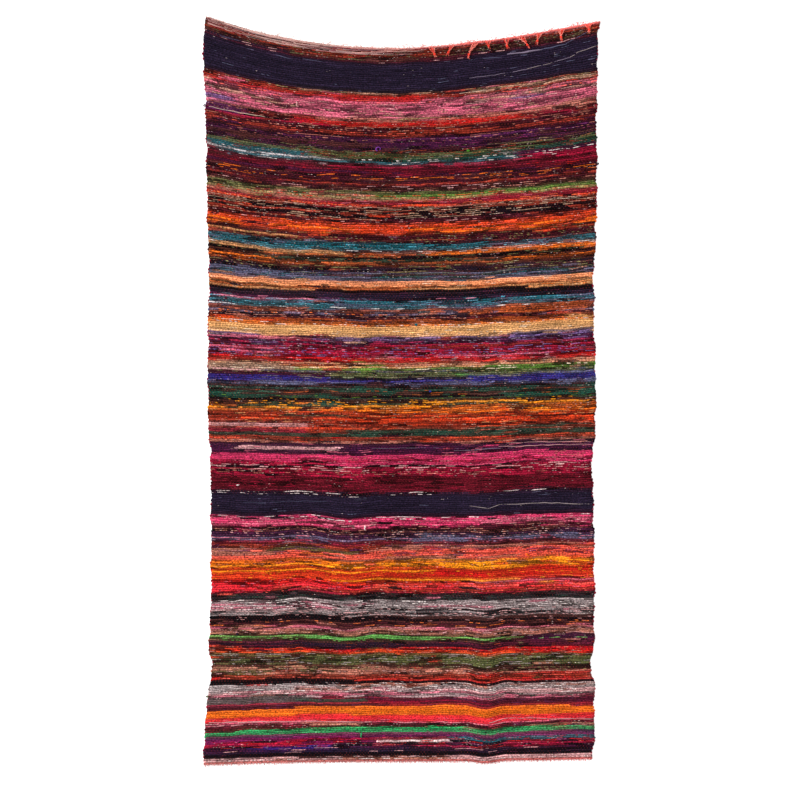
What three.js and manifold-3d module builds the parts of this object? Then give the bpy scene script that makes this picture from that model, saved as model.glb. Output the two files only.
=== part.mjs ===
// Handwoven rag rug, laid flat, about 80 x 150 cm.
//
// Strips torn from old cloth are beaten tightly between coral cotton warps, so the rug is one thick sheet
// with low cross ribs where the rags are bulky. It has hung by its two top corners, so the top edge and
// the first bands bow between them, and a few soft ridges still run down from the corners.
// At each end a narrow heading of bare warp carries the cut warp ends. On the right of the top edge they
// are tied in small bunches that flop onto the face.
//
// Millimetres, +Z up. The rug lies on z = 0 with its top edge towards +Y, its face up and its origin
// under the middle of its box.

import * as THREE from 'three';
import Module from 'manifold-3d';
import { mergeVertices } from 'three/addons/utils/BufferGeometryUtils.js';

const wasm = await Module();
wasm.setup();

// Driving dimensions
const clothLength = 1456; // from the first weft to the last, down the middle
const thinnest = 3.8; // the cloth where the rags are thin
const selvedgeShare = 0.7; // how thick a selvedge is, against the cloth beside it
const seamInset = 1.5; // how far the selvedge draws in between two bands
const partingGap = 0.3; // between the cloth and each heading
const headingWidth = 6;
const headingThickness = 3.2;
const footHeadingWidth = 4.5;
const columns = 22; // steps across the rug

// The dip of the hanging rug: where it is lowest, and how its two sides climb to the corners
const dip = { x: -14, leftPower: 2.1, rightPower: 1.6 };

// The outline at stations down the rug. along is measured down the middle from the first weft, left and
// right are the selvedges, and sagLeft and sagRight say how far a weft climbs from the dip to each selvedge.
const stations = [
  { along: -12, left: -399, right: 410, sagLeft: 66, sagRight: 56 },
  { along: 35, left: -407, right: 403, sagLeft: 62, sagRight: 53 },
  { along: 88, left: -405, right: 404, sagLeft: 52, sagRight: 48 },
  { along: 160, left: -401, right: 401, sagLeft: 39, sagRight: 38 },
  { along: 300, left: -399, right: 402, sagLeft: 33, sagRight: 28 },
  { along: 405, left: -397, right: 400, sagLeft: 29, sagRight: 26 },
  { along: 478, left: -394, right: 395, sagLeft: 18, sagRight: 20 },
  { along: 566, left: -396, right: 396, sagLeft: 12, sagRight: 18 },
  { along: 690, left: -397, right: 400, sagLeft: 6, sagRight: 10 },
  { along: 800, left: -395, right: 399, sagLeft: 5, sagRight: 9 },
  { along: 832, left: -391, right: 392, sagLeft: 5, sagRight: 9 },
  { along: 1000, left: -390, right: 396, sagLeft: 3, sagRight: 6 },
  { along: 1120, left: -390, right: 397, sagLeft: 0, sagRight: 5 },
  { along: 1230, left: -395, right: 396, sagLeft: 3, sagRight: 4 },
  { along: 1265, left: -387, right: 389, sagLeft: 1, sagRight: 4 },
  { along: 1310, left: -396, right: 397, sagLeft: -4, sagRight: 5 },
  { along: 1400, left: -404, right: 397, sagLeft: -10, sagRight: 7 },
  { along: 1470, left: -406, right: 394, sagLeft: -7, sagRight: 5 },
];

// Where the wefts ride up (rise above 0) or drop in the plane of the rug: centre, reach across and along
const sways = [
  { x: 174, along: 1340, rise: -6, wide: 45, long: 420 },
  { x: 300, along: 1000, rise: 3, wide: 90, long: 300 },
  { x: -205, along: 1090, rise: 6, wide: 80, long: 260 },
  { x: -100, along: 1010, rise: -4, wide: 70, long: 300 },
  { x: -60, along: 1180, rise: 4, wide: 60, long: 200 },
  { x: 120, along: 820, rise: -3, wide: 90, long: 160 },
];

// Soft ridges. Each runs between two points, given across and down the rug, bowed sideways by bow, and
// lifts the cloth by height over reach to either side. It rises over rampIn and falls again over rampOut.
const folds = [
  { from: [-160, 60], to: [-66, 1340], bow: 18, height: 12, reach: 150, rampIn: 300, rampOut: 300 },
  { from: [335, 60], to: [176, 960], bow: 12, height: 8, reach: 90, rampIn: 220, rampOut: 260 },
  { from: [184, 760], to: [172, 1450], bow: -6, height: 7, reach: 70, rampIn: 240, rampOut: 60 },
  { from: [215, 760], to: [215, 1400], bow: 0, height: 5, reach: 130, rampIn: 240, rampOut: 200 },
  { from: [30, 330], to: [40, 560], bow: 0, height: 3, reach: 60, rampIn: 110, rampOut: 110 },
  { from: [99, 900], to: [99, 1300], bow: 0, height: 3, reach: 50, rampIn: 150, rampOut: 150 },
  { from: [-276, 800], to: [-280, 1140], bow: 0, height: 4, reach: 60, rampIn: 160, rampOut: 160 },
  { from: [-240, 1280], to: [-240, 1450], bow: 0, height: 3.5, reach: 60, rampIn: 90, rampOut: 50 },
  { from: [-82, 1180], to: [-84, 1450], bow: 0, height: 4, reach: 56, rampIn: 120, rampOut: 50 },
  { from: [310, 1270], to: [298, 1450], bow: 0, height: 4, reach: 50, rampIn: 100, rampOut: 50 },
];

// The cross bands, top to bottom: how long each is, and how far its crown stands above the thinnest cloth
const bands = [
  { name: 'brown heading', length: 25, swell: 0.9 },
  { name: 'first dark band', length: 68, swell: 0.2 },
  { name: 'red and olive', length: 26, swell: 0.9 },
  { name: 'rose', length: 29, swell: 0.6 },
  { name: 'bright red', length: 37, swell: 1.3 },
  { name: 'purple', length: 29, swell: 0.8 },
  { name: 'green and blue', length: 23, swell: 1.2 },
  { name: 'burgundy', length: 62, swell: 0.7 },
  { name: 'olive and crimson', length: 29, swell: 1.3 },
  { name: 'black flecked', length: 43, swell: 0.8 },
  { name: 'coral', length: 35, swell: 1.3 },
  { name: 'teal', length: 12, swell: 1.1 },
  { name: 'flecked browns', length: 27, swell: 0.8 },
  { name: 'dark with teal', length: 31, swell: 0.7 },
  { name: 'peach', length: 20, swell: 1.4 },
  { name: 'plum to teal', length: 70, swell: 0.9 },
  { name: 'gold', length: 23, swell: 1.0 },
  { name: 'mauve and crimson', length: 51, swell: 1.1 },
  { name: 'salmon and olive', length: 33, swell: 1.0 },
  { name: 'bottle green', length: 70, swell: 0.8 },
  { name: 'vermilion', length: 63, swell: 1.2 },
  { name: 'indigo', length: 27, swell: 0.6 },
  { name: 'hot pink', length: 19, swell: 1.3 },
  { name: 'maroon', length: 61, swell: 0.8 },
  { name: 'second dark band', length: 41, swell: 0.2 },
  { name: 'pink', length: 25, swell: 1.3 },
  { name: 'slate and brick', length: 74, swell: 0.9 },
  { name: 'scarlet and amber', length: 62, swell: 1.2 },
  { name: 'charcoal', length: 16, swell: 0.9 },
  { name: 'grey flecked', length: 68, swell: 0.7 },
  { name: 'leaf green', length: 28, swell: 1.0 },
  { name: 'vermilion and olive', length: 37, swell: 1.1 },
  { name: 'rose and black', length: 31, swell: 0.9 },
  { name: 'pale flecked', length: 53, swell: 1.0 },
  { name: 'amber and coral', length: 27, swell: 1.2 },
  { name: 'brick and emerald', length: 25, swell: 1.2 },
  { name: 'violet', length: 29, swell: 0.9 },
  { name: 'last dark band', length: 27, swell: 0.7 },
];

// Warp ends tied in bunches that lie on the face: where each leaves the top edge, its length and lean
const bunches = [
  { x: 64, length: 22, lean: 8 },
  { x: 105, length: 20, lean: -8 },
  { x: 152, length: 31, lean: -15 },
  { x: 178, length: 15, lean: 4 },
  { x: 217, length: 25, lean: 8 },
  { x: 247, length: 34, lean: 15 },
  { x: 276, length: 21, lean: 12 },
  { x: 330, length: 24, lean: 6 },
  { x: 384, length: 22, lean: 11 },
];
const bunch = { spread: 4.5, width: 2.2, height: 1.8, clearance: 1, arch: 2.2 };
const bends = { upAt: 0.06, archAt: 0.35 }; // shares of the way from the root to the knot
const knotBall = { radius: 3, longer: 1.3, flatter: 0.75, seat: 2 };

// Loose warp ends that lie on the floor beyond each heading
const looseEnds = { width: 2, height: 1.6, rootDepth: 3 };
const topEnds = { count: 48, length: 4.5, uneven: 1.5, lean: 2 };
const footEnds = { count: 64, length: 4, uneven: 1.5, lean: 2.5 };

const smooth = (t) => t * t * (3 - 2 * t);
const mix = (a, b, t) => a + (b - a) * t;

// A station value between the rows of the table
function at(key, along) {
  let n = 1;
  while (n < stations.length - 1 && stations[n].along < along) n += 1;
  const [before, after] = [stations[n - 1], stations[n]];
  const share = THREE.MathUtils.clamp((along - before.along) / (after.along - before.along), 0, 1);
  return mix(before[key], after[key], smooth(share));
}

// A raised cosine: 1 in the middle, 0 at reach and beyond
function hump(distance, reach) {
  const share = Math.min(Math.abs(distance) / reach, 1);
  return 0.5 + 0.5 * Math.cos(Math.PI * share);
}

// Where a point of the weave lies on the floor. across runs from 0 at the left selvedge to 1 at the right.
function place(across, along) {
  const [left, right] = [at('left', along), at('right', along)];
  const x = mix(left, right, across);
  const climb = x < dip.x
    ? at('sagLeft', along) * ((x - dip.x) / (left - dip.x)) ** dip.leftPower
    : at('sagRight', along) * ((x - dip.x) / (right - dip.x)) ** dip.rightPower;
  let rise = 0;
  for (const sway of sways) {
    rise += sway.rise * hump(x - sway.x, sway.wide) * hump(along - sway.along, sway.long);
  }
  return new THREE.Vector2(x, climb + rise - along);
}

// How far the cloth is lifted off the floor by the soft ridges
function lift(x, along) {
  let total = 0;
  for (const fold of folds) {
    const [[fromX, start], [toX, end]] = [fold.from, fold.to];
    const share = (along - start) / (end - start);
    if (share <= 0 || share >= 1) continue;
    const middle = mix(fromX, toX, share) + fold.bow * Math.sin(Math.PI * share);
    const rising = smooth(Math.min((along - start) / fold.rampIn, 1));
    const falling = smooth(Math.min((end - along) / fold.rampOut, 1));
    total += fold.height * rising * falling * hump(x - middle, fold.reach);
  }
  return total;
}

// A row of points for each seam between bands and one for each crown
function bandRows() {
  const scale = clothLength / bands.reduce((sum, band) => sum + band.length, 0);
  const rows = [{ along: 0, thickness: thinnest, inset: seamInset }];
  let along = 0;
  for (const band of bands) {
    const length = band.length * scale;
    rows.push({ along: along + length / 2, thickness: thinnest + band.swell, inset: 0 });
    along += length;
    rows.push({ along, thickness: thinnest, inset: seamInset });
  }
  return rows;
}

// A closed slab over a grid of points: rows[r](across) gives the point and its under and top heights
function slab(rows) {
  const positions = [];
  const triangles = [];
  for (const side of ['under', 'top']) {
    for (const row of rows) {
      for (let c = 0; c <= columns; c += 1) {
        const p = row(c / columns);
        positions.push(p.x, p.y, p[side]);
      }
    }
  }
  const wide = columns + 1;
  const perSide = rows.length * wide;
  const quad = (a, b, c, d) => triangles.push(a, b, c, a, c, d);
  for (let r = 0; r + 1 < rows.length; r += 1) {
    for (let c = 0; c < columns; c += 1) {
      const corner = r * wide + c;
      quad(corner, corner + 1, corner + wide + 1, corner + wide);
      quad(perSide + corner, perSide + corner + wide, perSide + corner + wide + 1, perSide + corner + 1);
    }
    const left = r * wide;
    const right = left + columns;
    quad(left, left + wide, perSide + left + wide, perSide + left);
    quad(right + wide, right, perSide + right, perSide + right + wide);
  }
  const last = (rows.length - 1) * wide;
  for (let c = 0; c < columns; c += 1) {
    quad(c + 1, c, perSide + c, perSide + c + 1);
    quad(last + c, last + c + 1, perSide + last + c + 1, perSide + last + c);
  }
  const geometry = new THREE.BufferGeometry();
  geometry.setAttribute('position', new THREE.Float32BufferAttribute(positions, 3));
  geometry.setIndex(triangles);
  return geometry;
}

// The woven cloth: ribs across, thinner selvedges that draw in at each seam, and the soft ridges
function wovenCloth() {
  const rows = bandRows().map((row) => (across) => {
    const inset = row.inset / (at('right', row.along) - at('left', row.along));
    const p = place(THREE.MathUtils.clamp(across, inset, 1 - inset), row.along);
    const raised = lift(p.x, row.along);
    const selvedge = across === 0 || across === 1;
    return { x: p.x, y: p.y, under: raised, top: raised + row.thickness * (selvedge ? selvedgeShare : 1) };
  });
  return slab(rows);
}

// A narrow strip of bare warp across the rug, between two distances down it
function heading(fromAlong, toAlong) {
  const rows = [fromAlong, toAlong].map((along) => (across) => {
    const p = place(across, along);
    const raised = lift(p.x, along);
    return { x: p.x, y: p.y, under: raised, top: raised + headingThickness };
  });
  return slab(rows);
}

// A closed bar of four sides under a path: the path is its lower middle line, and it tapers to half
function lock(path, width, height) {
  const way = path[path.length - 1].clone().sub(path[0]).setZ(0).normalize();
  const sideways = new THREE.Vector3(-way.y, way.x, 0);
  const positions = [];
  path.forEach((point, n) => {
    const ahead = path[Math.min(n + 1, path.length - 1)];
    const behind = path[Math.max(n - 1, 0)];
    const up = ahead.clone().sub(behind).cross(sideways).normalize();
    const taper = 1 - 0.5 * (n / (path.length - 1));
    for (const [s, u] of [[1, 0], [-1, 0], [-1, 1], [1, 1]]) {
      const corner = point.clone()
        .addScaledVector(sideways, s * width * taper / 2)
        .addScaledVector(up, u * height * taper);
      positions.push(...corner.toArray());
    }
  });
  const triangles = [0, 1, 2, 0, 2, 3];
  for (let n = 0; n + 1 < path.length; n += 1) {
    for (let k = 0; k < 4; k += 1) {
      const [a, b] = [n * 4 + k, n * 4 + (k + 1) % 4];
      triangles.push(a, a + 4, b, b, a + 4, b + 4);
    }
  }
  const end = (path.length - 1) * 4;
  triangles.push(end, end + 2, end + 1, end, end + 3, end + 2);
  const geometry = new THREE.BufferGeometry();
  geometry.setAttribute('position', new THREE.Float32BufferAttribute(positions, 3));
  geometry.setIndex(triangles);
  return geometry;
}

// A solid for cutting and joining, from a closed geometry
function solidOf(geometry) {
  const bare = geometry.clone();
  bare.deleteAttribute('normal');
  bare.deleteAttribute('uv');
  const merged = mergeVertices(bare);
  return new wasm.Manifold(new wasm.Mesh({
    numProp: 3,
    vertProperties: new Float32Array(merged.attributes.position.array),
    triVerts: new Uint32Array(merged.index.array),
  }));
}

function geometryOf(solid) {
  const mesh = solid.getMesh();
  const geometry = new THREE.BufferGeometry();
  geometry.setAttribute('position', new THREE.Float32BufferAttribute(mesh.vertProperties, 3));
  geometry.setIndex(new THREE.Uint32BufferAttribute(mesh.triVerts, 1));
  return geometry;
}

const fused = (geometries) => geometryOf(wasm.Manifold.union(geometries.map(solidOf)));

// An uneven number from -1 to 1 that is the same each run
const uneven = (n) => Math.sin(n * 12.9898) * Math.cos(n * 4.1414);

// Cut warp ends side by side on the floor, from inside a heading outwards. outwards is 1 up and -1 down.
function endsAlong(along, outwards, ends) {
  const locks = [];
  for (let n = 0; n < ends.count; n += 1) {
    const across = (n + 0.5 + 0.25 * uneven(n)) / ends.count;
    const edge = place(across, along);
    const low = lift(edge.x, along);
    const length = ends.length + ends.uneven * uneven(n + 40);
    const path = [
      new THREE.Vector3(edge.x, edge.y - outwards * looseEnds.rootDepth, low),
      new THREE.Vector3(edge.x + ends.lean * uneven(n + 90), edge.y + outwards * length, low),
    ];
    locks.push(lock(path, looseEnds.width, looseEnds.height));
  }
  return locks;
}

// One tied bunch: three locks that leave the heading, arch onto the face and meet in a knot
function tiedBunch({ x, length, lean }) {
  const across = (x - at('left', 0)) / (at('right', 0) - at('left', 0));
  const root = place(across, -headingWidth / 2);
  const faceHeight = (px, along) => lift(px, along) + thinnest + bands[0].swell + bunch.clearance;
  const knotAlong = length - headingWidth;
  const knot = new THREE.Vector3(x + lean, place(across, knotAlong).y, faceHeight(x + lean, knotAlong));
  const pieces = [-1, 0, 1].map((n) => {
    const start = new THREE.Vector3(root.x + n * bunch.spread, root.y, headingThickness / 2);
    const leaving = start.clone().lerp(knot, bends.upAt).setZ(faceHeight(root.x, 0));
    const over = start.clone().lerp(knot, bends.archAt).setZ(faceHeight(root.x, 0) + bunch.arch);
    return lock([start, leaving, over, knot], bunch.width, bunch.height);
  });
  const ball = new THREE.IcosahedronGeometry(knotBall.radius, 0);
  ball.scale(1, knotBall.longer, knotBall.flatter);
  ball.translate(knot.x, knot.y, knot.z + knotBall.seat);
  return [...pieces, ball];
}

function topFringe() {
  const strip = heading(-partingGap - headingWidth, -partingGap);
  const ends = endsAlong(-partingGap - headingWidth, 1, topEnds);
  return fused([strip, ...ends, ...bunches.flatMap(tiedBunch)]);
}

function footFringe() {
  const start = clothLength + partingGap;
  const strip = heading(start, start + footHeadingWidth);
  return fused([strip, ...endsAlong(start + footHeadingWidth, -1, footEnds)]);
}

const rug = new THREE.Group();

function addPiece(name, geometry, colour) {
  const material = new THREE.MeshStandardMaterial({ color: colour, roughness: 0.92, metalness: 0 });
  const mesh = new THREE.Mesh(geometry, material);
  mesh.name = name;
  rug.add(mesh);
}

addPiece('woven_cloth', wovenCloth(), '#7a2f38');
addPiece('top_fringe', topFringe(), '#f0605a');
addPiece('foot_fringe', footFringe(), '#d9706c');

// The origin goes under the middle of the box
const box = new THREE.Box3().setFromObject(rug);
const middle = box.getCenter(new THREE.Vector3());
rug.position.set(-middle.x, -middle.y, -box.min.z);

export default rug;
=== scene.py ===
# %% [markdown]
# # A handwoven rag rug
#
# This rug is woven by hand from strips torn out of old cloth. A weaver beats the strips, called rags,
# between thin cotton warps, and changes rag whenever one runs out, so no two rows are alike.
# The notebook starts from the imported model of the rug, which fixes where everything lies. It then weaves
# the cloth row by row as real geometry, dyes each rag, and adds the warp ends, the turns at the edges and
# the knots that stand out of the face.
#
# All tables here are in millimetres, across and down the rug, as the loom would measure them. Blender
# works in metres, so one helper turns loom measures into places in the scene.

import math
from collections import namedtuple

import bpy
import numpy as np
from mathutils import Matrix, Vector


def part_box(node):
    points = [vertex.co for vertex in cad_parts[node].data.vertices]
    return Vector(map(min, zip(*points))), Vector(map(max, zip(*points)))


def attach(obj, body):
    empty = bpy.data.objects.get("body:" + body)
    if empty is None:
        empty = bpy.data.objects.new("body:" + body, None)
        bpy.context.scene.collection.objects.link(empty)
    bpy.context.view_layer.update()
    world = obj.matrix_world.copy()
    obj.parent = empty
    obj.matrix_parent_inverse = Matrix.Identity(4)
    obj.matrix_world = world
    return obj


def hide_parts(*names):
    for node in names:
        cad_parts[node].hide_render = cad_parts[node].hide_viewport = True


MM = 0.001
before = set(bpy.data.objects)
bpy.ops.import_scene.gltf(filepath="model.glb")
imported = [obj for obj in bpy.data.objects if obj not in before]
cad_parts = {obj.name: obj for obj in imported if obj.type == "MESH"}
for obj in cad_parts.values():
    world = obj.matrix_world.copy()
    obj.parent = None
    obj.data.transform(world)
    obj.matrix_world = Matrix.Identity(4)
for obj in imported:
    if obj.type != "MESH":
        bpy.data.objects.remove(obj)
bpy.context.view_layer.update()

# %% [markdown]
# ## Camera
#
# The rug is shown face on and lies on the floor, so the camera hangs straight above it. A long lens keeps
# the selvedges parallel. The picture takes in 1.646 m, and its middle lies a little towards the foot of
# the rug, because the rug sits high in the picture.

# %% Hang the camera over the rug
PICTURE_WIDTH = 1.646
AIM = (-0.0041, -0.0189)
LENS = 85.0
SENSOR = 36.0


def add_camera():
    camera = bpy.data.objects.new("camera", bpy.data.cameras.new("camera"))
    camera.data.lens = LENS
    camera.data.sensor_width = SENSOR
    camera.location = (*AIM, PICTURE_WIDTH * LENS / SENSOR)
    bpy.context.scene.collection.objects.link(camera)
    bpy.context.scene.camera = camera
    return camera


camera = add_camera()
print("camera height:", round(camera.location.z, 3), "m")

# %% [markdown]
# ## How the rug lies
#
# It has hung by its two top corners, so the rows sag between them, most at the top and hardly at all at
# the foot. Four tables describe that: the outline at stations down the rug, the places where rows sway
# up or down, the soft ridges, and the small waves of the selvedges. Another way would be to hang a
# simulated cloth, but a thick rug that has been laid down again keeps only traces of its folds, and
# traces are easier to place one by one.

# %% Tables of the layout
Station = namedtuple("Station", "along left right sag_left sag_right")
STATIONS = [
    Station(-12, -399, 410, 66, 56),
    Station(35, -407, 403, 62, 53),
    Station(88, -405, 404, 52, 48),
    Station(160, -401, 401, 39, 38),
    Station(300, -399, 402, 33, 28),
    Station(405, -397, 400, 29, 26),
    Station(478, -394, 395, 18, 20),
    Station(566, -396, 396, 12, 18),
    Station(690, -397, 400, 6, 10),
    Station(800, -395, 399, 5, 9),
    Station(832, -391, 392, 5, 9),
    Station(1000, -390, 396, 3, 6),
    Station(1120, -390, 397, 0, 5),
    Station(1230, -395, 396, 3, 4),
    Station(1265, -387, 389, 1, 4),
    Station(1310, -396, 397, -4, 5),
    Station(1400, -404, 397, -10, 7),
    Station(1470, -406, 394, -7, 5),
]
Sway = namedtuple("Sway", "x along rise wide long")
SWAYS = [
    Sway(174, 1340, -6, 45, 420),
    Sway(300, 1000, 3, 90, 300),
    Sway(-205, 1090, 6, 80, 260),
    Sway(-100, 1010, -4, 70, 300),
    Sway(-60, 1180, 4, 60, 200),
    Sway(120, 820, -3, 90, 160),
]
Fold = namedtuple("Fold", "from_x start to_x end bow height reach ramp_in ramp_out")
FOLDS = [
    Fold(-160, 60, -66, 1340, 18, 12, 150, 300, 300),
    Fold(335, 60, 176, 960, 12, 8, 90, 220, 260),
    Fold(184, 760, 172, 1450, -6, 7, 70, 240, 60),
    Fold(215, 760, 215, 1400, 0, 5, 130, 240, 200),
    Fold(30, 330, 40, 560, 0, 3, 60, 110, 110),
    Fold(99, 900, 99, 1300, 0, 3, 50, 150, 150),
    Fold(-276, 800, -280, 1140, 0, 4, 60, 160, 160),
    Fold(-240, 1280, -240, 1450, 0, 3.5, 60, 90, 50),
    Fold(-82, 1180, -84, 1450, 0, 4, 56, 120, 50),
    Fold(310, 1270, 298, 1450, 0, 4, 50, 100, 50),
]
Wave = namedtuple("Wave", "long left right shift")
EDGE_WAVES = [
    Wave(31, 0.7, 0.8, 4),
    Wave(53, 0.8, 1.0, 11),
    Wave(97, 0.9, 1.1, 37),
]
SHIFTS = {"left": 1, "right": 2}  # puts the two selvedges out of step
DIP_X, LEFT_POWER, RIGHT_POWER = -14, 2.1, 1.6
CLOTH_LENGTH = 1456
PARTING = 0.3
TOP_HEADING = 6
FOOT_HEADING = 4.5
SEAM_INSET = 1.5
THINNEST = 3.8
print(len(STATIONS), "stations,", len(FOLDS), "soft ridges")

# %% Work out where a point of the weave lies


def smooth(t):
    return t * t * (3 - 2 * t)


def mix(a, b, t):
    return a + (b - a) * t


def at(name, along):
    """A station value between the rows of the table."""
    marks = np.array([s.along for s in STATIONS], float)
    values = np.array([getattr(s, name) for s in STATIONS], float)
    n = np.clip(np.searchsorted(marks, along), 1, len(marks) - 1)
    share = np.clip((along - marks[n - 1]) / (marks[n] - marks[n - 1]), 0, 1)
    return mix(values[n - 1], values[n], smooth(share))


def hump(distance, reach):
    """A raised cosine: 1 in the middle, 0 at reach and beyond."""
    return 0.5 + 0.5 * np.cos(np.pi * np.minimum(np.abs(distance) / reach, 1))


def across_of(x, along):
    return (x - at("left", along)) / (at("right", along) - at("left", along))


def climb(x, along):
    """How far a row has risen from the dip at x."""
    left_share = np.clip((x - DIP_X) / (at("left", along) - DIP_X), 0, None)
    right_share = np.clip((x - DIP_X) / (at("right", along) - DIP_X), 0, None)
    rise = at("sag_left", along) * left_share**LEFT_POWER
    rise = rise + at("sag_right", along) * right_share**RIGHT_POWER
    for s in SWAYS:
        rise = rise + s.rise * hump(x - s.x, s.wide) * hump(along - s.along, s.long)
    return rise


def edge_wave(side, along):
    """How far a selvedge wanders out, because no two rags are pulled equally tight."""
    turns = [2 * np.pi * (along + w.shift * SHIFTS[side]) / w.long for w in EDGE_WAVES]
    return sum(getattr(w, side) * np.sin(turn) for w, turn in zip(EDGE_WAVES, turns))


def place(across, along):
    """The floor place (x, y) of a point at a share across the rug and a distance down it."""
    left = at("left", along) - edge_wave("left", along)
    right = at("right", along) + edge_wave("right", along)
    x = mix(left, right, across)
    return x, climb(x, along) - along


def lift(x, along):
    """How far the soft ridges raise the cloth."""
    total = np.zeros(np.broadcast(x, along).shape)
    for f in FOLDS:
        share = np.clip((along - f.start) / (f.end - f.start), 0, 1)
        middle = mix(f.from_x, f.to_x, share) + f.bow * np.sin(np.pi * share)
        rising = smooth(np.clip((along - f.start) / f.ramp_in, 0, 1))
        falling = smooth(np.clip((f.end - along) / f.ramp_out, 0, 1))
        total = total + f.height * rising * falling * hump(x - middle, f.reach)
    return total


corner = place(SEAM_INSET / (at("right", 0.0) - at("left", 0.0)), 0.0)
outer_right = place(1.0, -PARTING - TOP_HEADING)
SHIFT_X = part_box("top_fringe")[1].x / MM - outer_right[0]
SHIFT_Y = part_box("woven_cloth")[1].y / MM - corner[1]
print("loom to frame shift:", round(float(SHIFT_X), 2), round(float(SHIFT_Y), 2), "mm")


def to_metres(x, y, z):
    """Loom millimetres as scene points, one row for each point."""
    x, y, z = np.broadcast_arrays(x, y, z)
    return np.stack([x + SHIFT_X, y + SHIFT_Y, z], -1).reshape(-1, 3) * MM


# %% [markdown]
# ## The dyes
#
# The rags come from dyed and printed cotton, so the palette is wide but each colour returns many times.
# Each dye is named once here. Blender mixes light in linear values, so the usual screen values are
# turned into linear ones.

# %% Name the dyes
DYES = {
    "navy": "241b2f",
    "ink": "120d16",
    "charcoal": "282b2e",
    "lead": "605a58",
    "plum": "43163a",
    "purple": "5c2456",
    "grape": "86205c",
    "violet": "7a3c96",
    "royal": "322c86",
    "teal": "176672",
    "sea": "4aa0b8",
    "bottle": "1d4d3e",
    "olive": "5a5f38",
    "grass": "4c8c2e",
    "leaf": "58a84e",
    "emerald": "1aa25c",
    "khaki": "8c8252",
    "fawn": "b08a70",
    "clay": "b4705e",
    "rust": "b04e22",
    "wine": "581a30",
    "smoke": "9c8c8c",
    "tan": "e4a86c",
    "peach": "fc9c68",
    "sand": "c88a58",
    "amber": "f49416",
    "orange": "f0701a",
    "vermilion": "e2431e",
    "scarlet": "c81818",
    "crimson": "a01434",
    "oxblood": "681222",
    "maroon": "4a1424",
    "brick": "92301f",
    "brown": "4e2824",
    "pink": "da3a68",
    "rose": "ce6078",
    "magenta": "b42480",
    "coral": "fa5a48",
    "flame": "f42e3a",
    "blush": "d49a9a",
    "lilac": "87788c",
    "heather": "775e98",
    "slate": "5c5c76",
    "grey": "8a8688",
    "cream": "e2ccb4",
    "white": "ecdcd8",
}


def linear(code):
    channels = np.array([int(code[n : n + 2], 16) / 255 for n in (0, 2, 4)])
    return np.where(channels <= 0.04045, channels / 12.92, ((channels + 0.055) / 1.055) ** 2.4)


DYE = {name: linear(code) for name, code in DYES.items()}
print(len(DYE), "dyes")

# %% [markdown]
# ## The weaver's draft
#
# A draft lists the stripes from the top edge down. `to` is how far down the middle of the rug a stripe
# reaches, in millimetres. `ground` is its main rag and `second` the rag that turns up among its rows.
# `fleck` is what shows where a rag twists over, and `share` how much of the row it takes.

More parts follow.
